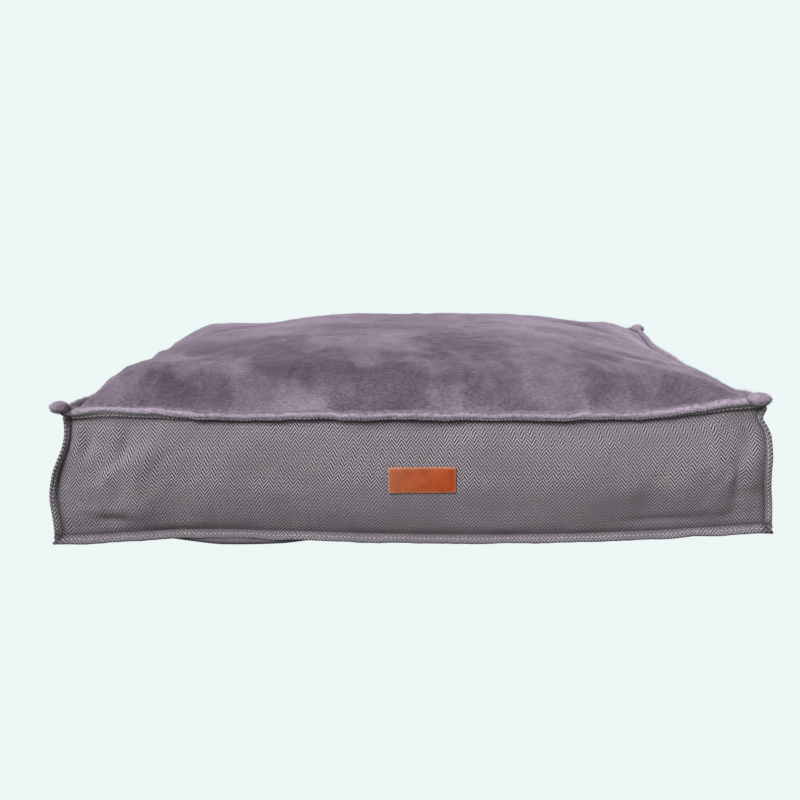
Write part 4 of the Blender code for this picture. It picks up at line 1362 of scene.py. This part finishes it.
front = wallOuter["frontWall"]
frontFaces = gridFaces(*front.shape[:2])
frontTree = BVHTree.FromPolygons([Vector(p) for p in front.reshape(-1, 3)],
                                 [tuple(int(i) for i in f) for f in frontFaces])


def onFront(x, z):
    hit = frontTree.ray_cast(Vector((x, -0.6, z)), Vector((0, 1, 0)))[0]
    return hit.y


def softFront(x, z, spread=0.006):
    # the leather bridges the tweed's small dips
    return sum(onFront(x + a, z + b) for a in (-spread, 0, spread) for b in (-spread, 0, spread)) / 9


def labelPoint(a, b, lift):
    turn = math.radians(label["tilt"])
    x = label["x"] + a * math.cos(turn) - b * math.sin(turn)
    z = label["z"] + a * math.sin(turn) + b * math.cos(turn)
    return np.array([x, softFront(x, z) - lift, z])


def labelLift(a, b):
    # one end lifts a little and the leather ripples between its stitches
    spots = np.stack([a, b], axis=-1)
    curl = 0.0009 * smoothStep((-a - 0.025) / 0.02) * smoothStep(-b / 0.02)
    return 0.0004 + curl + 0.00030 * (1 + wander(spots, 0.016, 51))


def makeLabel():
    halfA, halfB = label["half"]
    columns, rows = 61, 27

    def crowded(count, half):
        # more lines near the edges, where the leather rounds over
        t = np.linspace(-1, 1, count)
        return np.sign(t) * (1 - (1 - np.abs(t)) ** 1.35) * half

    a, b = np.meshgrid(crowded(columns, halfA), crowded(rows, halfB))
    fromRim = np.minimum(halfA - np.abs(a), halfB - np.abs(b))
    sunk = 0.00035 * np.exp(-((fromRim - label["stitchInset"]) / 0.0007) ** 2)
    roundOver = np.sqrt(np.clip(1 - (1 - np.clip(fromRim / 0.0011, 0, 1)) ** 2, 0, 1))
    crest = label["thickness"] * (0.42 + 0.58 * roundOver) - sunk
    corner = label["corner"]
    pullIn = np.clip((np.abs(a) - (halfA - corner)) / corner, 0, 1)
    pullIn = pullIn * np.clip((np.abs(b) - (halfB - corner)) / corner, 0, 1)
    a, b = a * (1 - 0.008 * pullIn), b * (1 - 0.022 * pullIn)
    lifted = labelLift(a, b)
    back = np.array([[labelPoint(a[r, c], b[r, c], lifted[r, c]) for c in range(columns)]
                     for r in range(rows)])
    face = back - np.array([0, 1.0, 0]) * crest[..., None]
    # columns of the back run to the right seen from the front
    uv = np.stack([a, b], axis=-1)
    # the paler worn edge, plus a painted highlight that grows towards the left end
    wornEdgeAndGlint = np.clip(0.7 * np.exp(-fromRim / 0.0009) + 0.26 * (0.5 - a / (2 * halfA)) ** 2, 0, 1)
    piece = clothShell("leatherLabel", back, face, uv, leather, {"wornEdgeAndGlint": wornEdgeAndGlint})
    return keep(piece, "leather_label")


makeLabel()
inA, inB = (half - label["stitchInset"] for half in label["half"])
loop = [(-inA, -inB), (inA, -inB), (inA, inB), (-inA, inB), (-inA, -inB)]
line = []
for (a0, b0), (a1, b1) in zip(loop, loop[1:]):
    for t in np.linspace(0, 1, 30, endpoint=False):
        a, b = a0 + (a1 - a0) * t, b0 + (b1 - b0) * t
        lift = float(labelLift(np.array([a]), np.array([b]))[0])
        line.append(labelPoint(a, b, lift + label["thickness"] - 0.0001))
line = np.array(line + line[:1])
sewn("labelStitches", line, np.tile([0.0, -1.0, 0.0], (len(line), 1)), tanThread, "label_stitching",
     pitch=0.0037, radius=0.00055, trim=0.0005)
print("label made")


# inside: liner, filling and the blank care label

inside = {
    "linerOut": 0.0068,  # how far inside the cover each of these lies
    "linerIn": 0.0078,
    "filling": 0.0095,
    "fillingLump": 0.004,
    "tagFrom": -0.3146,  # x of the care label's two edges
    "tagTo": -0.2836,
}


def shrunkBag(depth, lump=0.0, seed=0):
    # the whole bag moved inwards along its own normals, evenly or with soft lumps
    mesh = bpy.data.meshes.new("shrunk")
    mesh.from_pydata(bagPoints.tolist(), [], bagFaces(bagGrids).tolist())
    mesh.update()
    normals = np.zeros(len(bagPoints) * 3)
    mesh.vertices.foreach_get("normal", normals)
    bpy.data.meshes.remove(mesh)
    if lump:
        depth = (depth + np.abs(wander(bagPoints, 0.06, seed) * lump))[:, None]
    return bagPoints - normals.reshape(-1, 3) * depth


linerOut, linerIn = shrunkBag(inside["linerOut"]), shrunkBag(inside["linerIn"])
for name, key, node in (("linerTop", "top", "liner_top"), ("linerBase", "base", "liner_base")):
    grid = bagGrids[key][1:-1, 1:-1]
    keep(clothShell(name, linerIn[grid], linerOut[grid], wovenUv(linerOut[grid]), linerCloth), node)
ring = np.concatenate([bagGrids[side][1:-1, :-1] for side in sides], axis=1)
ring = np.concatenate([ring, ring[:, :1]], axis=1)
linerWall = clothShell("linerBoxing", linerIn[ring], linerOut[ring], wovenUv(linerOut[ring]), linerCloth)
keep(linerWall, "liner_boxing")

fillPoints = shrunkBag(inside["filling"], inside["fillingLump"], 61)
fill = keep(makeObject("fibreFilling", fillPoints, bagFaces(bagGrids), fibre), "fibre_filling")

rearGrid = fine["rear"]
lowX = rearGrid[rearGrid.shape[0] // 3, :, 0]
columns = np.where((lowX > inside["tagFrom"]) & (lowX < inside["tagTo"]))[0]
rows = np.arange(3, 13)
tag = rearGrid[np.ix_(rows, columns)]
tagPiece = thickStrip("careLabel", tag, 0.0030, 0.0008, satin, "care_label")
print("inside made")


# pile: short tapered tufts that break up the plush's outline

pile = {
    "edgeCount": 60000,
    "crownCount": 60000,
    "edgeLength": 0.0046,
    "crownLength": 0.0021,
    "width": 0.00050,
    "sunk": 0.0006,  # how deep each foot stands in the cloth
}


def strands(name, feet, direction, tall, uv, sheenShare, chance):
    # one three-sided tapered tuft at each foot
    count = len(feet)
    across = unit(np.cross(direction, np.array([0.31, 0.52, 0.79]) + 1e-3))
    third = np.cross(direction, across)
    wide = pile["width"] * (0.7 + 0.6 * chance.random((count, 1)))
    block = np.stack([feet + across * wide, feet - across * wide * 0.5 + third * wide * 0.87,
                      feet - across * wide * 0.5 - third * wide * 0.87, feet + direction * tall], axis=1)
    starts = (np.arange(count) * 4)[:, None, None]
    faces = (np.array([[0, 1, 3], [1, 2, 3], [2, 0, 3]])[None] + starts).reshape(-1, 3)
    piece = makeObject(name, block.reshape(-1, 3), [faces], plush)
    addUv(piece, np.repeat(uv, 4, axis=0))
    markPoints(piece, "edge", np.repeat(sheenShare, 4))
    return keep(piece, None)


ears = {
    # where each top corner is bunched into a tuft: from the flange's tip, and half sizes, metres
    "frontLeft": {"tip": (0, 0), "offset": (-0.0020, 0.0010, -0.0005), "half": (0.0108, 0.0095, 0.0066)},
    "frontRight": {"tip": (0, -1), "offset": (-0.0120, 0.0030, -0.0045), "half": (0.0150, 0.0100, 0.0078)},
    "rearRight": {"tip": (-1, -1), "offset": (-0.0075, -0.0060, -0.0045), "half": (0.0115, 0.0110, 0.0070)},
    "rearLeft": {"tip": (-1, 0), "offset": (0.0030, -0.0040, -0.0015), "half": (0.0100, 0.0095, 0.0060)},
}


knob = {
    "paintedLight": 1.7,  # painted light on the shaded knob: how far its colour goes to the pale tips
    "strands": 1500,
    "length": 0.0030,
}


def earTuft(name, facts, seed):
    # a soft knob of plush, with its own short pile
    rows, columns = 25, 40
    polar, turn = np.meshgrid(np.linspace(0.02, math.pi - 0.02, rows),
                              np.linspace(0, 2 * math.pi, columns, endpoint=False), indexing="ij")
    way = np.stack([np.sin(polar) * np.cos(turn), np.sin(polar) * np.sin(turn), np.cos(polar)], axis=-1)
    lumpy = 1 + 0.10 * wander(way, 0.55, seed) + 0.05 * wander(way, 0.2, seed + 1)
    half = np.array(facts["half"])
    spots = topOuter[facts["tip"]] + np.array(facts["offset"]) + way * half * lumpy[..., None]
    caps = [np.arange(columns)[::-1][None], np.arange(columns)[None] + (rows - 1) * columns]
    ear = makeObject(f"plushEar.{name}", spots.reshape(-1, 3),
                     [gridFaces(rows, columns, closed=True, flip=True)] + caps, plush)
    addUv(ear, spots.reshape(-1, 3)[:, :2])
    # painted light: the knob is drawn pale, as if lit
    markPoints(ear, "edge", np.full(rows * columns, knob["paintedLight"]))
    keep(ear, None)
    chance = np.random.default_rng(seed)
    picked = chance.choice(rows * columns, size=knob["strands"],
                           p=(np.sin(polar) / np.sin(polar).sum()).ravel())
    feet, up = spots.reshape(-1, 3)[picked], unit(way / half).reshape(-1, 3)[picked]
    feet = feet + chance.normal(size=feet.shape) * 0.0005
    direction = unit(up + chance.normal(size=up.shape) * 0.4)
    tall = knob["length"] * (0.6 + 0.8 * chance.random((len(feet), 1)))
    paintedLight = np.full(len(feet), knob["paintedLight"])
    strands(f"plushPile.{name}", feet - up * pile["sunk"], direction, tall, feet[:, :2], paintedLight, chance)


def tufts(name, count, length, onEdge, seed):
    chance = np.random.default_rng(seed)
    rows, columns = topOuter.shape[:2]
    weight = (fluff + 2.0 * earNear * (rim > 0) if onEdge else 1 - np.clip(rim * 2, 0, 1))[:-1, :-1].ravel()
    cells = chance.choice(weight.size, size=count, p=weight / weight.sum())
    r, c = np.divmod(cells, columns - 1)
    fr, fc = chance.random((2, count, 1))

    def mixed(values):
        return (values[r, c] * (1 - fr) * (1 - fc) + values[r + 1, c] * fr * (1 - fc)
                + values[r, c + 1] * (1 - fr) * fc + values[r + 1, c + 1] * fr * fc)

    roots, up = mixed(topOuter), unit(mixed(topNormals))
    flow = unit(np.cross(up, chance.normal(size=(count, 3)))) * 0.55
    if onEdge:
        flow = flow * 1.1
    else:
        sweep = wander(roots[:, :2], 0.12, 71, 2)
        lean = np.stack([np.cos(sweep * 3.0), np.sin(sweep * 3.0) - 0.4, np.zeros(count)], axis=1)
        flow = flow + lean * 0.9
    direction = unit(up * (0.95 if onEdge else 0.55) + flow)
    tall = length * (0.65 + 0.7 * chance.random((count, 1)))
    if onEdge:
        tall = tall * (1 + 0.35 * mixed(earNear[..., None]))
    return strands(name, roots - up * pile["sunk"], direction, tall, mixed(uvTop), mixed(fluff[..., None]),
                   chance)


tufts("plushPile.edge", pile["edgeCount"], pile["edgeLength"], True, 5)
tufts("plushPile.crown", pile["crownCount"], pile["crownLength"], False, 6)
for seed, (name, facts) in enumerate(ears.items()):
    earTuft(name, facts, 80 + seed)
print("pile made")


# what rides on what

for name, piece in pieces.items():
    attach(piece, "zip_slider" if name == "zipSlider" else "zip_pull" if name == "zipPull" else "cushion")

top, base, wall = cover["cutTop"], cover["cutBase"], cover["cutWall"]


# studio

backdrop = {
    "seen": "eef8f7",  # what the camera sees behind and under the bed
    "sky": "f4f2f6",  # what lights the bed from all round
    "skyStrength": 0.50,
    "floor": "666b6a",
    "floorGlow": 0.985,  # the rest of the floor shows the bed's shadow
    "reach": 60.0,
}

studio = bpy.data.worlds.new("studio")
bpy.context.scene.world = studio
studio.use_nodes = True
tree = studio.node_tree
background = tree.nodes["Background"]
background.inputs["Color"].default_value = hexColour(backdrop["sky"])
background.inputs["Strength"].default_value = backdrop["skyStrength"]
seen = addNode(tree, "Background", None, Color=hexColour(backdrop["seen"]), Strength=1.0)
ray = addNode(tree, "LightPath")
mix = addNode(tree, "MixShader", None, in0=ray.outputs["Is Camera Ray"], in1=background.outputs[0],
              in2=seen.outputs[0])
tree.links.new(mix.outputs[0], tree.nodes["World Output"].inputs["Surface"])

# the floor glows like the backdrop, with only a trace of the bed's own shadow
floorMaterial, tree, shader = newMaterial("paleStudioFloor")
shader.inputs["Base Color"].default_value = hexColour(backdrop["floor"])
shader.inputs["Roughness"].default_value = 0.9
shader.inputs["Specular IOR Level"].default_value = 0.0
glow = addNode(tree, "Emission", None, Color=hexColour(backdrop["seen"]), Strength=1.0)
ray = addNode(tree, "LightPath")
share = mathNode(tree, "MULTIPLY", ray.outputs["Is Camera Ray"], backdrop["floorGlow"])
mix = addNode(tree, "MixShader", None, in0=share, in1=shader.outputs[0], in2=glow.outputs[0])
tree.links.new(mix.outputs[0], tree.nodes["Material Output"].inputs["Surface"])
reach = backdrop["reach"]
floorCorners = [(x * reach, y * reach, -0.0005) for x, y in ((-1, -1), (1, -1), (1, 1), (-1, 1))]
floor = makeObject("studioFloor", floorCorners, np.array([[0, 1, 2, 3]]), floorMaterial)

lamps = {
    "softbox": {"energy": 2.75, "turn": (38, -36, 0), "angle": 28},
    "rearStrip": {"energy": 0.6, "turn": (-55, 10, 0), "angle": 70},
}
for name, facts in lamps.items():
    lamp = bpy.data.lights.new(name, "SUN")
    lamp.energy = facts["energy"]
    lamp.angle = math.radians(facts["angle"])
    lampObject = bpy.data.objects.new(name, lamp)
    bpy.context.collection.objects.link(lampObject)
    lampObject.rotation_euler = [math.radians(a) for a in facts["turn"]]

camera = {"place": (-0.020, -1.598, 0.478), "tilt": 12.4, "lens": 42.75}
cameraData = bpy.data.cameras.new("mainView")
cameraData.lens = camera["lens"]
cameraData.sensor_width = 36
cameraObject = bpy.data.objects.new("mainView", cameraData)
cameraObject.location = camera["place"]
cameraObject.rotation_euler = (math.radians(90 - camera["tilt"]), 0, 0)
bpy.context.collection.objects.link(cameraObject)
bpy.context.scene.camera = cameraObject
bpy.context.scene.view_settings.view_transform = "Standard"
